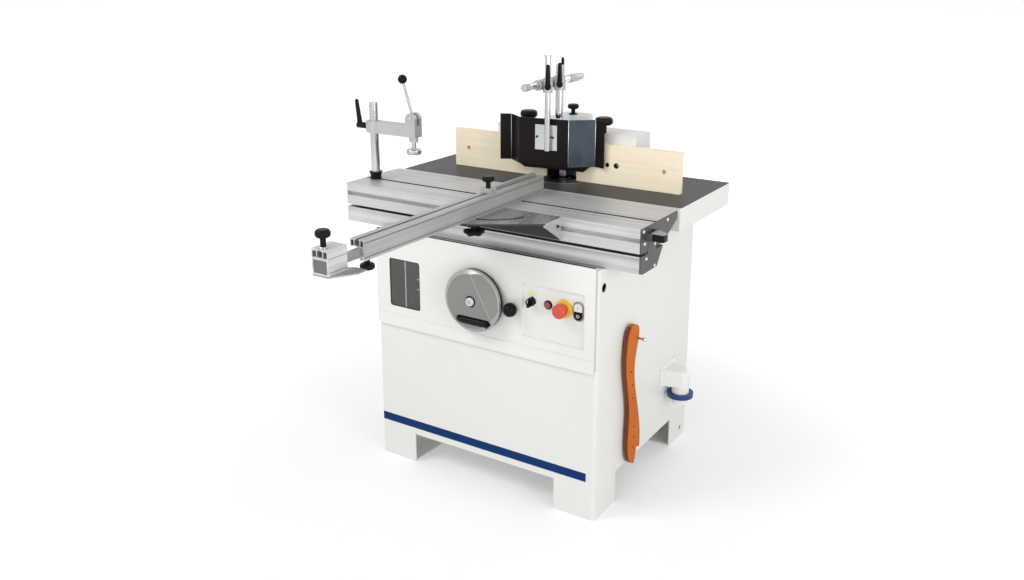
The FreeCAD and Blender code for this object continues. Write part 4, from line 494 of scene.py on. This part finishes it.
# How far off a face's middle may lie and how far it has to be clear, in millimetres, and the share of its
# normal from which it faces an axis, leans to it or tilts to it, latch and push stick have their own
OFF = 1.0
CLEAR = 0.1
FACES = 0.9
LEANS = 0.5
TILTS = 0.3
LATCH_LEANS = 0.6
STICK_LEANS = 0.4


def near(a, b, x, y, reach):
    return math.hypot(a - x, b - y) < reach


def round_spindle(c, reach):
    return near(c.x, c.y, *SPINDLE, reach)


def wheel_radius(c):
    return math.hypot(c.x, c.z - WHEEL_Z)


def on_table(c, n):
    return n.z > FACES and c.z > TABLE_Z - OFF


def in_table_bore(c, n):
    return c.z < TABLE_Z - OFF and round_spindle(c, OUTER_RING + OFF)


def on_arbor(c, n):
    return c.z > TABLE_Z and round_spindle(c, ARBOR_REACH) and abs(n.z) < LEANS


def above_quill(c, n):
    return c.z > QUILL_SEEN


def on_stop_collar(c, n):
    return c.y < RECESS_FLOOR - OFF / 2 and near(c.x, c.z, STOP_X, CONTROLS_Z, STOP_COLLAR)


def in_hood(c, n):
    return HOOD_X[0] < c.x < HOOD_X[1] and HOOD_Y[0] < c.y < HOOD_Y[1] and c.z < HOOD_TOP


def along_carriage(c):
    return CARRIAGE_RUN[0] < c.x < CARRIAGE_RUN[1]


def in_top_slot(c, n):
    inside = abs(c.y - SLOT_Y) < TOP_SLOT_HALF and TOP_SLOT_LOW < c.z < TABLE_Z - OFF / 2
    return inside and along_carriage(c)


def in_front_slot(c, n):
    inside = OFF / 2 < c.y - CARRIAGE_FRONT < FRONT_SLOT_DEEP and FRONT_SLOT[0] < c.z < FRONT_SLOT[1]
    return inside and along_carriage(c)


def at_left(c, n):
    return c.x < 0


def on_panel_edge(c, n):
    return n.x > LEANS and c.x > PANEL_RIGHT - 2 * OFF


def under_crease(c, n):
    return abs(c.z - CREASE_Z) < CREASE_HALF and n.z < -TILTS and c.y < RECESS_FLOOR - 2 * OFF


def on_hub(c, n):
    return c.y < WHEEL_FACE - CLEAR and wheel_radius(c) < HUB_REACH


def on_wheel_bevel(c, n):
    return -FACES < n.y < -LEANS


def on_wheel_side(c, n):
    return abs(n.y) < TILTS and wheel_radius(c) > WHEEL_SIDE


def in_pocket(c, n):
    inside = POCKET_LEFT - OFF < c.x < POCKET_RIGHT + OFF and abs(c.z - GRIP_Z) < POCKET_REACH
    return inside and CLEAR < c.y - WHEEL_FACE < POCKET_REACH


def on_grip_pin(c, n):
    return near(c.x, c.y, GRIP_X, GRIP_Y, GRIP_PIN) and abs(c.z - GRIP_Z) < POCKET_REACH


def on_hook(c, n):
    return c.x > CABINET_SIDE + CLEAR and near(c.y, c.z, *HOOK, HOOK_REACH)


def under_bracket(c, n):
    return c.x < CHEEK_LEFT and (c.z < BRACKET_UNDER or n.z < LEANS)


def on_facet(c, n):
    return n.x > TILTS and n.y < -LEANS and c.x > FACET_LEFT and GUARD_LOW < c.z < FACET_TOP


def in_board_hole(c, n):
    return abs(n.y) < LEANS and any(near(c.x, c.z, x, BOARD_HOLE_Z, BOARD_HOLE_REACH) for x in BOARD_HOLES)


repaint("table", table_top, on_table)
# Painted shade on the table rings under the hood.
repaint("table_rings", ring_painted_shade, lambda c, n: round_spindle(c, OUTER_RING - OFF))
# Painted shade: near black in the table's bore and on the quill carrier above the height that can be seen.
repaint("table", painted_shade_black, in_table_bore)
repaint("quill_carrier", painted_shade_black, above_quill)
# Painted shade on the spindle above the quill.
repaint("spindle", ring_painted_shade, above_quill)
repaint("spindle", chrome, on_arbor)
repaint("control_panel", yellow, on_stop_collar)
# Painted shade: near black on the inside of the fence hood.
repaint("fence_hood", painted_shade_black, in_hood)
# Painted shade inside the carriage's top slot.
repaint("carriage", alu_painted_shade, in_top_slot)
# Painted light inside the carriage's front slot.
repaint("carriage", slot_painted_light, in_front_slot)
repaint("carriage_end_plates", alu_plain, at_left)
repaint("beam_end_plates", alu_plain, at_left)
# Painted shade along the control panel's right edge.
repaint("control_panel", crease_painted_shade, on_panel_edge)
# Painted shade on the beam's top near its front, for the dark gap under the carriage.
repaint("carriage_beam", alu_painted_shade, lambda c, n: n.z > LEANS and c.z > BEAM_TOP - 1.5 * OFF)
repaint("carriage_latch", latch_grey, lambda c, n: n.z > LATCH_LEANS)
repaint("handwheel", hub_white, on_hub)
# Painted highlight on the handwheel's bevel.
repaint("handwheel", wheel_rim_painted_highlight, on_wheel_bevel)
# Painted shade on the handwheel's outer side.
repaint("handwheel", wheel_side_painted_shade, on_wheel_side)
repaint("handwheel", black, in_pocket)
repaint("handwheel", black, on_grip_pin)
# Painted shade on the upper face of the control panel's crease.
repaint("control_panel", crease_painted_shade, under_crease)
repaint("mitre_fence", alu_bright, lambda c, n: n.y < -FACES and c.y < FENCE_END + OFF)
repaint("fence_extension", alu_bright, lambda c, n: c.y < BLOCK_BACK)
# Painted shade on the right side of the fence extension behind the end block.
repaint("fence_extension", alu_bar_painted_shade, lambda c, n: c.y > BLOCK_BACK and n.x > LEANS)
repaint("clamp_column", black, lambda c, n: c.z < COLUMN_FOOT)
repaint("clamp_lever", lever_steel, lambda c, n: (c - CLAMP_BALL).length > BALL_REACH)
repaint("cabinet", chrome, on_hook)
repaint("angle_bracket", bracket_top, lambda c, n: n.z > FACES)
# Painted shade: near black under the bracket plate and on its front lip and slot walls.
repaint("angle_bracket", painted_shade_black, under_bracket)
# Painted reflection on the guard's right facet.
repaint("guard_shell", facet_painted_reflection, on_facet)
# Painted shade on the push stick's front-facing edge faces.
repaint("push_stick", orange_painted_shade, lambda c, n: n.y < -STICK_LEANS)
# Painted shade: near black inside the screw holes of the boards.
repaint("left_board", painted_shade_black, in_board_hole)
repaint("right_board", painted_shade_black, in_board_hole)

# Added pieces, a broken edge's width and how deep a thin piece is let into its seat, in millimetres
THIN_EDGE = 0.15
SEAT = 0.1
PANE_SEAT = 0.05

# Points round a turned piece, and round a thin or small one
ROUND_STEPS = 48
THIN_STEPS = 16
SMALL_STEPS = 32


def add_piece(name, verts, faces, mat, body, bevel=0.0, smooth=False):
    mesh = bpy.data.meshes.new(name)
    mesh.from_pydata([spot(*v) for v in verts], [], faces)
    shell = bmesh.new()
    shell.from_mesh(mesh)
    bmesh.ops.recalc_face_normals(shell, faces=shell.faces[:])
    shell.to_mesh(mesh)
    shell.free()
    mesh.materials.append(mat)
    piece = bpy.data.objects.new(name, mesh)
    bpy.context.scene.collection.objects.link(piece)
    if smooth:
        mesh.shade_smooth()
        mesh.set_sharp_from_angle(angle=math.radians(40))
    if bevel:
        edges = piece.modifiers.new("edges", "BEVEL")
        edges.width = bevel * MM
        edges.segments = 3
        edges.limit_method = "ANGLE"
    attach(piece, body)


def slab(name, low, high, mat, body, bevel=THIN_EDGE):
    (x0, y0, z0), (x1, y1, z1) = low, high
    verts = [(x, y, z) for x in (x0, x1) for y in (y0, y1) for z in (z0, z1)]
    faces = [(0, 1, 3, 2), (4, 6, 7, 5), (0, 4, 5, 1), (2, 3, 7, 6), (0, 2, 6, 4), (1, 5, 7, 3)]
    add_piece(name, verts, faces, mat, body, bevel)


def front_strip(name, place, y, thick, seat, mat, body):
    # A thin strip on a plane that faces the front.
    left, right, low, high = place
    slab(name, (left, y - thick, low), (right, y + seat, high), mat, body)


def groove_shade_lines(name, heights, x, y0, y1, body):
    # Painted shade: dark lines along a profile's right side, in place of its shallow grooves.
    half, proud, short = 0.7, 0.2, 0.5
    for number, z in enumerate(heights):
        slab("%s_%d" % (name, number), (x - SEAT, y0 + short, z - half), (x + proud, y1 - short, z + half),
             alu_painted_shade, body, 0.0)


def ring_points(foot, axis, radius, height, steps):
    # Points round an axis, the radius is a number or a function of the angle.
    axis = Vector(axis).normalized()
    side = axis.cross(Vector(UP) if abs(axis.z) < 0.9 else Vector(RIGHT)).normalized()
    up = axis.cross(side)
    centre = Vector(foot) + axis * height
    points = []
    for i in range(steps):
        turn = 2 * math.pi * i / steps
        reach = radius(turn) if callable(radius) else radius
        points.append(centre + side * (reach * math.cos(turn)) + up * (reach * math.sin(turn)))
    return points


def band_faces(rows, steps, start=0, closed=False):
    # Quads between neighbouring rings of points, closed also joins the last ring to the first.
    faces = []
    for j in range(rows if closed else rows - 1):
        a, b = start + j * steps, start + (j + 1) % rows * steps
        for i in range(steps):
            k = (i + 1) % steps
            faces.append((a + i, a + k, b + k, b + i))
    return faces


def lathe(foot, axis, profile, steps, start=0, closed=False):
    # A profile of radius and height turned round an axis, with flat caps where it isn't closed.
    verts = []
    for radius, height in profile:
        verts += ring_points(foot, axis, radius, height, steps)
    faces = band_faces(len(profile), steps, start, closed)
    if not closed:
        last = start + (len(profile) - 1) * steps
        faces.append(tuple(start + i for i in reversed(range(steps))))
        faces.append(tuple(last + i for i in range(steps)))
    return verts, faces


def turned(name, foot, axis, profile, mat, body, steps=ROUND_STEPS, closed=False):
    verts, faces = lathe(foot, axis, profile, steps, closed=closed)
    add_piece(name, verts, faces, mat, body, smooth=True)


def thin_rod(radius, length, taper):
    # Profile of a thin rod that tapers off at both ends.
    tip = 0.3
    return [(tip, 0), (radius, taper), (radius, length - taper), (tip, length)]


def soft_ring(inner, outer, height):
    # Closed profile of a ring with broken upper edges.
    soft = height * 0.3
    return [(inner, 0), (outer, 0), (outer, height - soft), (outer - soft, height),
            (inner + soft, height), (inner, height - soft)]


def hexagon(flat):
    def radius(turn):
        return flat / math.cos((turn + math.pi / 6) % (math.pi / 3) - math.pi / 6)
    return radius


def lobed(radius, depth, count):
    def reach(turn):
        return radius + depth * math.cos(count * turn)
    return reach


def screws(name, places, axis, size, mat, body):
    # Round heads with a hexagon socket, one mesh for all the screws of a place.
    steps = 36
    profile = [(size, 0), (size, size * 0.55), (size * 0.86, size * 0.8), (hexagon(size * 0.5), size * 0.8),
               (hexagon(size * 0.46), size * 0.25)]
    verts, faces = [], []
    for place in places:
        more, sides = lathe(place, axis, profile, steps, len(verts))
        verts += more
        faces += sides
    add_piece(name, verts, faces, mat, body, smooth=True)


def bezel(name, foot, ring, mat, body, axis=FRONT):
    turned(name, foot, axis, soft_ring(*ring), mat, body, closed=True)


def oval_ring(name, foot, rise, ring, mat, body):
    # A ring that faces the front, with its upper half raised and its lower half lowered by the rise.
    steps, verts = 64, []
    x, y, z = foot
    profile = soft_ring(*ring)
    for radius, lift in profile:
        for i in range(steps):
            turn = 2 * math.pi * (i + 0.5) / steps
            side = rise if math.sin(turn) > 0 else -rise
            verts.append((x + radius * math.cos(turn), y - lift, z + side + radius * math.sin(turn)))
    add_piece(name, verts, band_faces(len(profile), steps, closed=True), mat, body, smooth=True)


def corner_fill(name, x, z, way_x, way_z, radius, y0, y1, mat, body):
    # Fills a square corner of an opening to a rounded one.
    steps = 8
    outline = [(x, z)]
    for i in range(steps + 1):
        turn = math.pi / 2 * i / steps
        side, rise = radius * (1 - math.sin(turn)), radius * (1 - math.cos(turn))
        outline.append((x + way_x * side, z + way_z * rise))
    count = len(outline)
    verts = [(a, y0, b) for a, b in outline] + [(a, y1, b) for a, b in outline]
    faces = [tuple(range(count)), tuple(range(2 * count - 1, count - 1, -1))]
    faces += [(i, i + count, (i + 1) % count + count, (i + 1) % count) for i in range(count)]
    add_piece(name, verts, faces, mat, body)


def holed_plate(name, low, high, centre, hole, mat, body):
    # A flat rectangular plate with a round hole, whose corners are points of the outer ring.
    (x0, y0, z0), (x1, y1, z1) = low, high
    cx, cy = centre
    steps, edge = 32, 0.3
    corners = [math.atan2(y - cy, x - cx) % (2 * math.pi) for x in (x0, x1) for y in (y0, y1)]
    turns = sorted(corners + [2 * math.pi * (i + 0.5) / steps for i in range(steps)])
    inner, outer = [], []
    for turn in turns:
        c, s = math.cos(turn), math.sin(turn)
        reach = min(((x1 if c > 0 else x0) - cx) / c, ((y1 if s > 0 else y0) - cy) / s)
        inner.append((cx + hole * c, cy + hole * s))
        outer.append((cx + reach * c, cy + reach * s))
    rings = [(inner, z0), (outer, z0), (outer, z1), (inner, z1)]
    verts = [(x, y, z) for ring, z in rings for x, y in ring]
    add_piece(name, verts, band_faces(len(rings), len(turns), closed=True), mat, body, edge)


def add_front_trim():
    line, stripe, strip_edge = 0.5, 0.6, 1.0
    front_strip("stripe", STRIPE, CABINET_FRONT, stripe, SEAT, stripe_blue, "base")
    front_strip("window_line", WINDOW_LINE, PANE_FRONT, line, PANE_SEAT, line_grey, "base")
    # Painted shade: a black strip, drawn as rubber, stands in the gap above the panel's top edge for the
    # shadow under the beam.
    slab("gap_shade_strip", SHADE_STRIP_LOW, SHADE_STRIP_HIGH, rubber, "base", strip_edge)
    for number, z in enumerate(TICKS_Z):
        place = (*TICK_RUN, z - TICK_HALF, z + TICK_HALF)
        front_strip("window_tick_%d" % number, place, PANE_FRONT, line, PANE_SEAT, line_grey, "base")


def add_window_corners():
    left, right, low, high = WINDOW
    for x, way_x, side in ((left, 1, "left"), (right, -1, "right")):
        for z, way_z, end in ((low, 1, "low"), (high, -1, "high")):
            corner_fill("window_corner_%s_%s" % (side, end), x, z, way_x, way_z, WINDOW_CORNER,
                        PANEL_FRONT + PANE_SEAT, PANE_FRONT, panel_white, "base")


def add_window_shade_strips():
    # Painted shade: dark strips, drawn as rubber, round the window's opening for the shade on the sides of
    # the recess.
    left, right, low, high = WINDOW
    wide, thick = SHADE_STRIP_WIDE, 0.8
    strips = {
        "left": (left, left + wide, low + wide, high - wide),
        "low": (left, right, low, low + wide),
        "right": (right - wide, right, low + wide, high - wide),
        "high": (left, right, high - wide, high),
    }
    for side, place in strips.items():
        front_strip("window_shade_strip_" + side, place, PANE_FRONT, thick, PANE_SEAT, rubber, "base")


def add_table_trim():
    wide, gap, height = 2.0, 0.4, 0.5
    edge = (OUTER_RING - gap - wide, OUTER_RING - gap, height)
    bezel("ring_edge", (*SPINDLE, TABLE_Z - 2 * SEAT), edge, steel, "base", UP)


def add_controls():
    y, z = RECESS_FLOOR, CONTROLS_Z
    thick, thin = 0.5, 0.4
    mark = (SELECTOR_X - 1, SELECTOR_X + 1, z + 2, z + 11)
    plate = (SELECTOR_X - 14, SELECTOR_X + 16, z + 21, z + 31)
    bar = (PUSH_X - 0.8, PUSH_X + 0.8, z + 8, z + 18)
    zero_z = z - 13
    bezel("selector_bezel", (SELECTOR_X, y, z), SELECTOR_RING, chrome, "base")
    front_strip("selector_mark", mark, SELECTOR_FACE, thick, 0, mark_white, "selector")
    front_strip("selector_plate", plate, y, thick, SEAT, pale_yellow, "base")
    bezel("lamp_bezel", (LAMP_X, y, z), LAMP_RING, black, "base")
    oval_ring("button_frame", (PUSH_X, y, z), PUSH_RISE, PUSH_RING, grey_plastic, "base")
    front_strip("start_mark", bar, PUSH_FACE, thin, 0, mark_grey, "start")
    bezel("stop_mark", (PUSH_X, PUSH_FACE, zero_z), ZERO_RING, mark_white, "stop")


def add_pocket_end():
    # Draws the grip's pocket in to a round end at the grip's tip, its front follows the wheel's bevel.
    left, half = POCKET_LEFT, POCKET_HALF
    rows, columns = 12, 6
    wide = columns + 1
    layer = wide * (rows + 1)
    floor_y = WHEEL_FACE + half - SEAT
    verts, faces = [], []
    for front in (True, False):
        for j in range(rows + 1):
            z = -half * math.cos(math.pi * j / rows)
            inner = POCKET_TIP - half * math.sin(math.pi * j / rows)
            for i in range(wide):
                x = left + (inner - left) * i / columns
                past = math.hypot(x, GRIP_Z + z - WHEEL_Z) - FACE_RADIUS
                y = WHEEL_FACE + max(0.0, past) * BEVEL_SLOPE if front else floor_y
                verts.append((x, y, GRIP_Z + z))
    for j in range(rows):
        for i in range(columns):
            a = j * wide + i
            quad = (a, a + 1, a + 1 + wide, a + wide)
            faces += [quad, tuple(layer + k for k in reversed(quad))]
    border = list(range(columns)) + [j * wide + columns for j in range(rows)]
    border += [rows * wide + i for i in range(columns, 0, -1)] + [j * wide for j in range(rows, 0, -1)]
    faces += [(a, b, b + layer, a + layer) for a, b in zip(border, border[1:] + border[:1])]
    add_piece("pocket_end", verts, faces, wheel_grey, "wheel", smooth=True)
    corner_fill("pocket_corner", POCKET_RIGHT, GRIP_Z + half, -1, -1, POCKET_CORNER, WHEEL_FACE, floor_y,
                wheel_grey, "wheel")


def add_wheel_ridge():
    # A thin ridge across the wheel's face, along a chord off its middle, in lighter grey as a painted
    # highlight.
    chord, turn, half = 39.6, math.radians(28.4), 72.0
    radius, taper, sunk = 1.1, 2, 0.3
    run = Vector((-math.sin(turn), 0, math.cos(turn)))
    middle = Vector((chord * math.cos(turn), WHEEL_FACE + sunk, WHEEL_Z + chord * math.sin(turn)))
    ridge = thin_rod(radius, 2 * half, taper)
    turned("wheel_ridge", middle - run * half, run, ridge, wheel_rim_painted_highlight, "wheel", THIN_STEPS)


def add_wheel_trim():
    # Painted shade: a black ring round the hub for the dark gap round its cap.
    bezel("hub_ring", (0, WHEEL_FACE + 2 * SEAT, WHEEL_Z), HUB_SHADE_RING, black, "wheel")
    # Painted highlight: a lighter grey band round the wheel's rim.
    bezel("rim_band", (0, RIM_BAND_Y, WHEEL_Z), RIM_BAND, wheel_rim_painted_highlight, "wheel")
    add_wheel_ridge()
    add_pocket_end()
    cap = [(8.2, -0.2), (8.2, 0.7), (7.4, 1.2), (2.0, 1.3)]
    turned("hub_cap", (0, HUB_FACE, WHEEL_Z), FRONT, cap, hub_grey, "wheel")


def add_end_screws():
    size, cheek_size = 4.8, 4.5
    upper = [(-150.5, 891), (-304, 892), (-232, 843), (-297, 857)]
    lower = [(-284, 812), (-228, 779)]
    cheek = (262.0, -337.8, 878.6)
    for side, x, axis in (("right", 506.0, RIGHT), ("left", -530.0, LEFT)):
        high, low = [[(x, y, z) for y, z in places] for places in (upper, lower)]
        screws("carriage_screws_" + side, high, axis, size, screw_zinc, "trolley")
        screws("beam_screws_" + side, low, axis, size, screw_zinc, "base")
    screws("cheek_screw", [cheek], RIGHT, cheek_size, dark_screw, "trolley")


def guard_spot(x, y, z):
    # A place on the guard, which stands a little turned.
    c, s = math.cos(GUARD_TURN), math.sin(GUARD_TURN)
    cx, cy = GUARD_CENTRE
    return (cx + x * c - y * s, cy + x * s + y * c, z)


def add_guard_trim():
    facing = (math.sin(GUARD_TURN), -math.cos(GUARD_TURN), 0)
    plate_y, plate_z, head = 9.5, 1047, 4.0
    heads = [guard_spot(x, plate_y, plate_z) for x in (-40, 14)]
    screws("plate_screws", heads, facing, head, dark_screw, "guard")
    plug = [(10.8, -24), (11.5, -23.4), (11.5, 0.6), (10.6, 1.8), (6.0, 2.0)]
    for side, y, axis in (("front", -80.0, FRONT), ("back", 280.0, BACK)):
        turned("arm_plug_" + side, (ARM_X, y, ARM_Z), axis, plug, plug_clear, "arm")
    # Painted highlight: thin pale rods up the guard's three bends stand for the light caught on its folded
    # edges.
    radius, height, taper = 1.0, 150, 1
    bend = thin_rod(radius, height, taper)
    for side, x, y in (("left", -154.0, 60.4), ("middle", 66.0, 13.4), ("right", 138.0, 60.4)):
        turned("guard_bend_painted_highlight_" + side, guard_spot(x, y, GUARD_LOW), UP, bend, bend_painted_highlight, "guard",
               THIN_STEPS)


def add_arm_trim():
    sleeve_y, lever_x, hub_y, lever_y, lean = 194, 14, 112, 119, -0.03
    sleeve = [(10.4, 0), (12.0, 0), (13.2, 1.5), (13.2, 58), (12.0, 60), (10.4, 60)]
    turned("arm_sleeve", (ARM_X, sleeve_y, ARM_Z), BACK, sleeve, clamp_cast, "arm",
           closed=True)
    hub = [(6.0, -0.4), (7.4, 1), (7.4, 12), (6.0, 14)]
    turned("rear_lever_hub", (lever_x, hub_y, ARM_Z), BACK, hub, black, "swivel",
           SMALL_STEPS)
    handle = [(4.2, 0), (3.6, 12), (4.6, 30), (5.0, 62), (4.4, 71), (2.5, 75), (0.8, 76)]
    turned("rear_lever", (lever_x, lever_y, ARM_Z + 2), (lean, 0, 1), handle, black, "swivel",
           SMALL_STEPS)


def add_board_screws():
    for x, body in zip(END_HOLES, ("board_left", "board_right")):
        place = (x, BOARD_FRONT, BOARD_HOLE_Z)
        screws("screw_of_" + body, [place], FRONT, BOARD_SCREW, hole_screw, body)


def add_block_trim():
    inset, thick, hole = 0.2, 3.0, 7.6
    low = (BLOCK_LEFT + inset, BLOCK_FRONT + inset, BLOCK_TOP - SEAT)
    high = (BLOCK_RIGHT - inset, BLOCK_BACK - inset, BLOCK_TOP + thick)
    holed_plate("block_plate", low, high, END_KNOB, hole, alu_bright, "extension")
    washer = (*END_KNOB, BLOCK_TOP + thick - SEAT)
    bezel("end_knob_washer", washer, END_WASHER, steel, "extension", UP)
    slab("end_cover", END_COVER_LOW, END_COVER_HIGH, cover_grey, "extension")
    groove_shade_lines("block_groove_shade", BLOCK_GROOVES, BLOCK_RIGHT, BLOCK_FRONT, BLOCK_BACK, "extension")


def add_fence_trim():
    groove_shade_lines("fence_groove_shade", FENCE_GROOVES, FENCE_RIGHT, FENCE_END, FENCE_BACK, "mitre")


def add_inlet_trim():
    x = CABINET_SIDE
    thick, edge, inset_y, inset_z, head = 3.0, 1.4, 7.0, 8.0, 3.4
    front, back, low, high = INLET_FLANGE
    slab("inlet_flange", (x - SEAT, front, low), (x + thick, back, high), light, "base",
         edge)
    sides = (front + inset_y, back - inset_y)
    ends = (low + inset_z, high - inset_z)
    corners = [(x + thick, y, z) for y in sides for z in ends]
    screws("inlet_screws", corners, RIGHT, head, screw_zinc, "base")


def add_star_knob():
    lobes, steps = 5, 80
    wide, soft = lobed(24.0, 7.0, lobes), lobed(20.0, 5.5, lobes)
    profile = [(9.0, 0), (9.0, 5), (soft, 6.5), (wide, 9.5), (wide, 17.5), (soft, 21), (6.0, 22)]
    turned("angle_star", STAR_KNOB, DOWN, profile, black, "mitre_knob", steps)


def add_clamp_trim():
    pin = [(5.5, -0.2), (5.5, 1.6), (4.6, 2.4), (2.0, 2.6)]
    turned("cam_pin_head", CAM_PIN, FRONT, pin, steel, "clamp_beam", SMALL_STEPS)


add_front_trim()
add_window_corners()
add_window_shade_strips()
add_table_trim()
add_controls()
add_wheel_trim()
add_end_screws()
add_guard_trim()
add_arm_trim()
add_board_screws()
add_block_trim()
add_fence_trim()
add_inlet_trim()
add_star_knob()
add_clamp_trim()

# Camera at the photograph's place, with its measures in pixels of the picture, millimetres and degrees
PICTURE_WIDE = 1024
PICTURE_MIDDLE = 290
OPTICAL_MIDDLE = 220
FOCAL_PIXELS = 973.6331
SENSOR = 36.0
CAMERA_PLACE = (1551.2557, -2588.4493, 1602.937)
CAMERA_PITCH = 15.247
CAMERA_YAW = 32.5835


def add_camera():
    data = bpy.data.cameras.new("camera")
    data.sensor_width = SENSOR
    data.lens = SENSOR * FOCAL_PIXELS / PICTURE_WIDE
    data.shift_y = (OPTICAL_MIDDLE - PICTURE_MIDDLE) / PICTURE_WIDE
    camera = bpy.data.objects.new("camera", data)
    camera.location = spot(*CAMERA_PLACE)
    camera.rotation_euler = (math.radians(90 - CAMERA_PITCH), 0, math.radians(CAMERA_YAW))
    bpy.context.scene.collection.objects.link(camera)
    bpy.context.scene.camera = camera


# Floor, light and world, in metres and watts
FLOOR_HALF = 30.0
FADE_NEAR = 0.7
FADE_FAR = 2.3
GLOW_NEAR = 0.25
GLOW_FAR = 0.60
WHITE = (1, 1, 1, 1)
SKY_LEVEL = 0.60


def math_node(tree, operation, first, second):
    node = tree.nodes.new("ShaderNodeMath")
    node.operation = operation
    tree.links.new(first, node.inputs[0])
    tree.links.new(second, node.inputs[1])
    return node.outputs[0]


def seen_rays(tree):
    # One for what the camera, a mirror or a clear piece shows, and zero for the light itself.
    path = tree.nodes.new("ShaderNodeLightPath").outputs
    mirrored = math_node(tree, "MAXIMUM", path["Is Glossy Ray"], path["Is Transmission Ray"])
    return math_node(tree, "MAXIMUM", path["Is Camera Ray"], mirrored)


def floor_fade(tree):
    # The floor's own glow, weak round the part where its shadow lies and stronger further out.
    tex = tree.nodes.new("ShaderNodeTexCoord")
    reach = tree.nodes.new("ShaderNodeVectorMath")
    reach.operation = "LENGTH"
    tree.links.new(tex.outputs["Object"], reach.inputs[0])
    fade = tree.nodes.new("ShaderNodeMapRange")
    fade.interpolation_type = "SMOOTHSTEP"
    fade.inputs["From Min"].default_value = FADE_NEAR
    fade.inputs["From Max"].default_value = FADE_FAR
    fade.inputs["To Min"].default_value = GLOW_NEAR
    fade.inputs["To Max"].default_value = GLOW_FAR
    tree.links.new(reach.outputs["Value"], fade.inputs["Value"])
    return fade.outputs["Result"]


def add_floor():
    a = FLOOR_HALF
    mesh = bpy.data.meshes.new("floor")
    mesh.from_pydata([(-a, -a, 0), (a, -a, 0), (a, a, 0), (-a, a, 0)], [], [(0, 1, 2, 3)])
    floor = bpy.data.objects.new("floor", mesh)
    bpy.context.scene.collection.objects.link(floor)
    mat, tree, shader = new_material("pale_floor")
    faint = noise(tree, coords(tree), 0.8, detail=2.0)
    tones = two_tone(tree, faint, (0.71, 0.71, 0.71), (0.73, 0.73, 0.73))
    tree.links.new(tones, shader.inputs["Base Color"])
    shader.inputs["Roughness"].default_value = 0.8
    shader.inputs["Emission Color"].default_value = WHITE
    glow = math_node(tree, "MULTIPLY", seen_rays(tree), floor_fade(tree))
    tree.links.new(glow, shader.inputs["Emission Strength"])
    mesh.materials.append(mat)


def add_area(name, place, aim, size, power):
    data = bpy.data.lights.new(name, "AREA")
    data.energy = power
    data.size = size
    lamp = bpy.data.objects.new(name, data)
    lamp.location = place
    lamp.rotation_euler = (Vector(aim) - Vector(place)).to_track_quat("-Z", "Y").to_euler()
    bpy.context.scene.collection.objects.link(lamp)


def background(tree, level):
    node = tree.nodes.new("ShaderNodeBackground")
    node.inputs["Color"].default_value = WHITE
    node.inputs["Strength"].default_value = level
    return node.outputs[0]


def add_world():
    world = bpy.data.worlds.new("studio")
    bpy.context.scene.world = world
    world.use_nodes = True
    tree = world.node_tree
    tree.nodes.clear()
    mix = tree.nodes.new("ShaderNodeMixShader")
    out = tree.nodes.new("ShaderNodeOutputWorld")
    tree.links.new(seen_rays(tree), mix.inputs["Fac"])
    tree.links.new(background(tree, SKY_LEVEL), mix.inputs[1])
    tree.links.new(background(tree, 1.0), mix.inputs[2])
    tree.links.new(mix.outputs[0], out.inputs["Surface"])


add_camera()
add_floor()
add_world()
add_area("back", (1.2, 4.9, 2.8), (0, 0, 0.7), 2.5, 45)
add_area("key", (-2.2, -2.8, 4.2), (0, 0, 0.8), 1.8, 94)
add_area("front", (0.8, -4.4, 1.8), (0, 0, 0.8), 2.5, 34)
add_area("fill", (4.2, -1.4, 1.5), (0, 0, 0.7), 2.0, 72)
bpy.context.scene.view_settings.view_transform = "Standard"
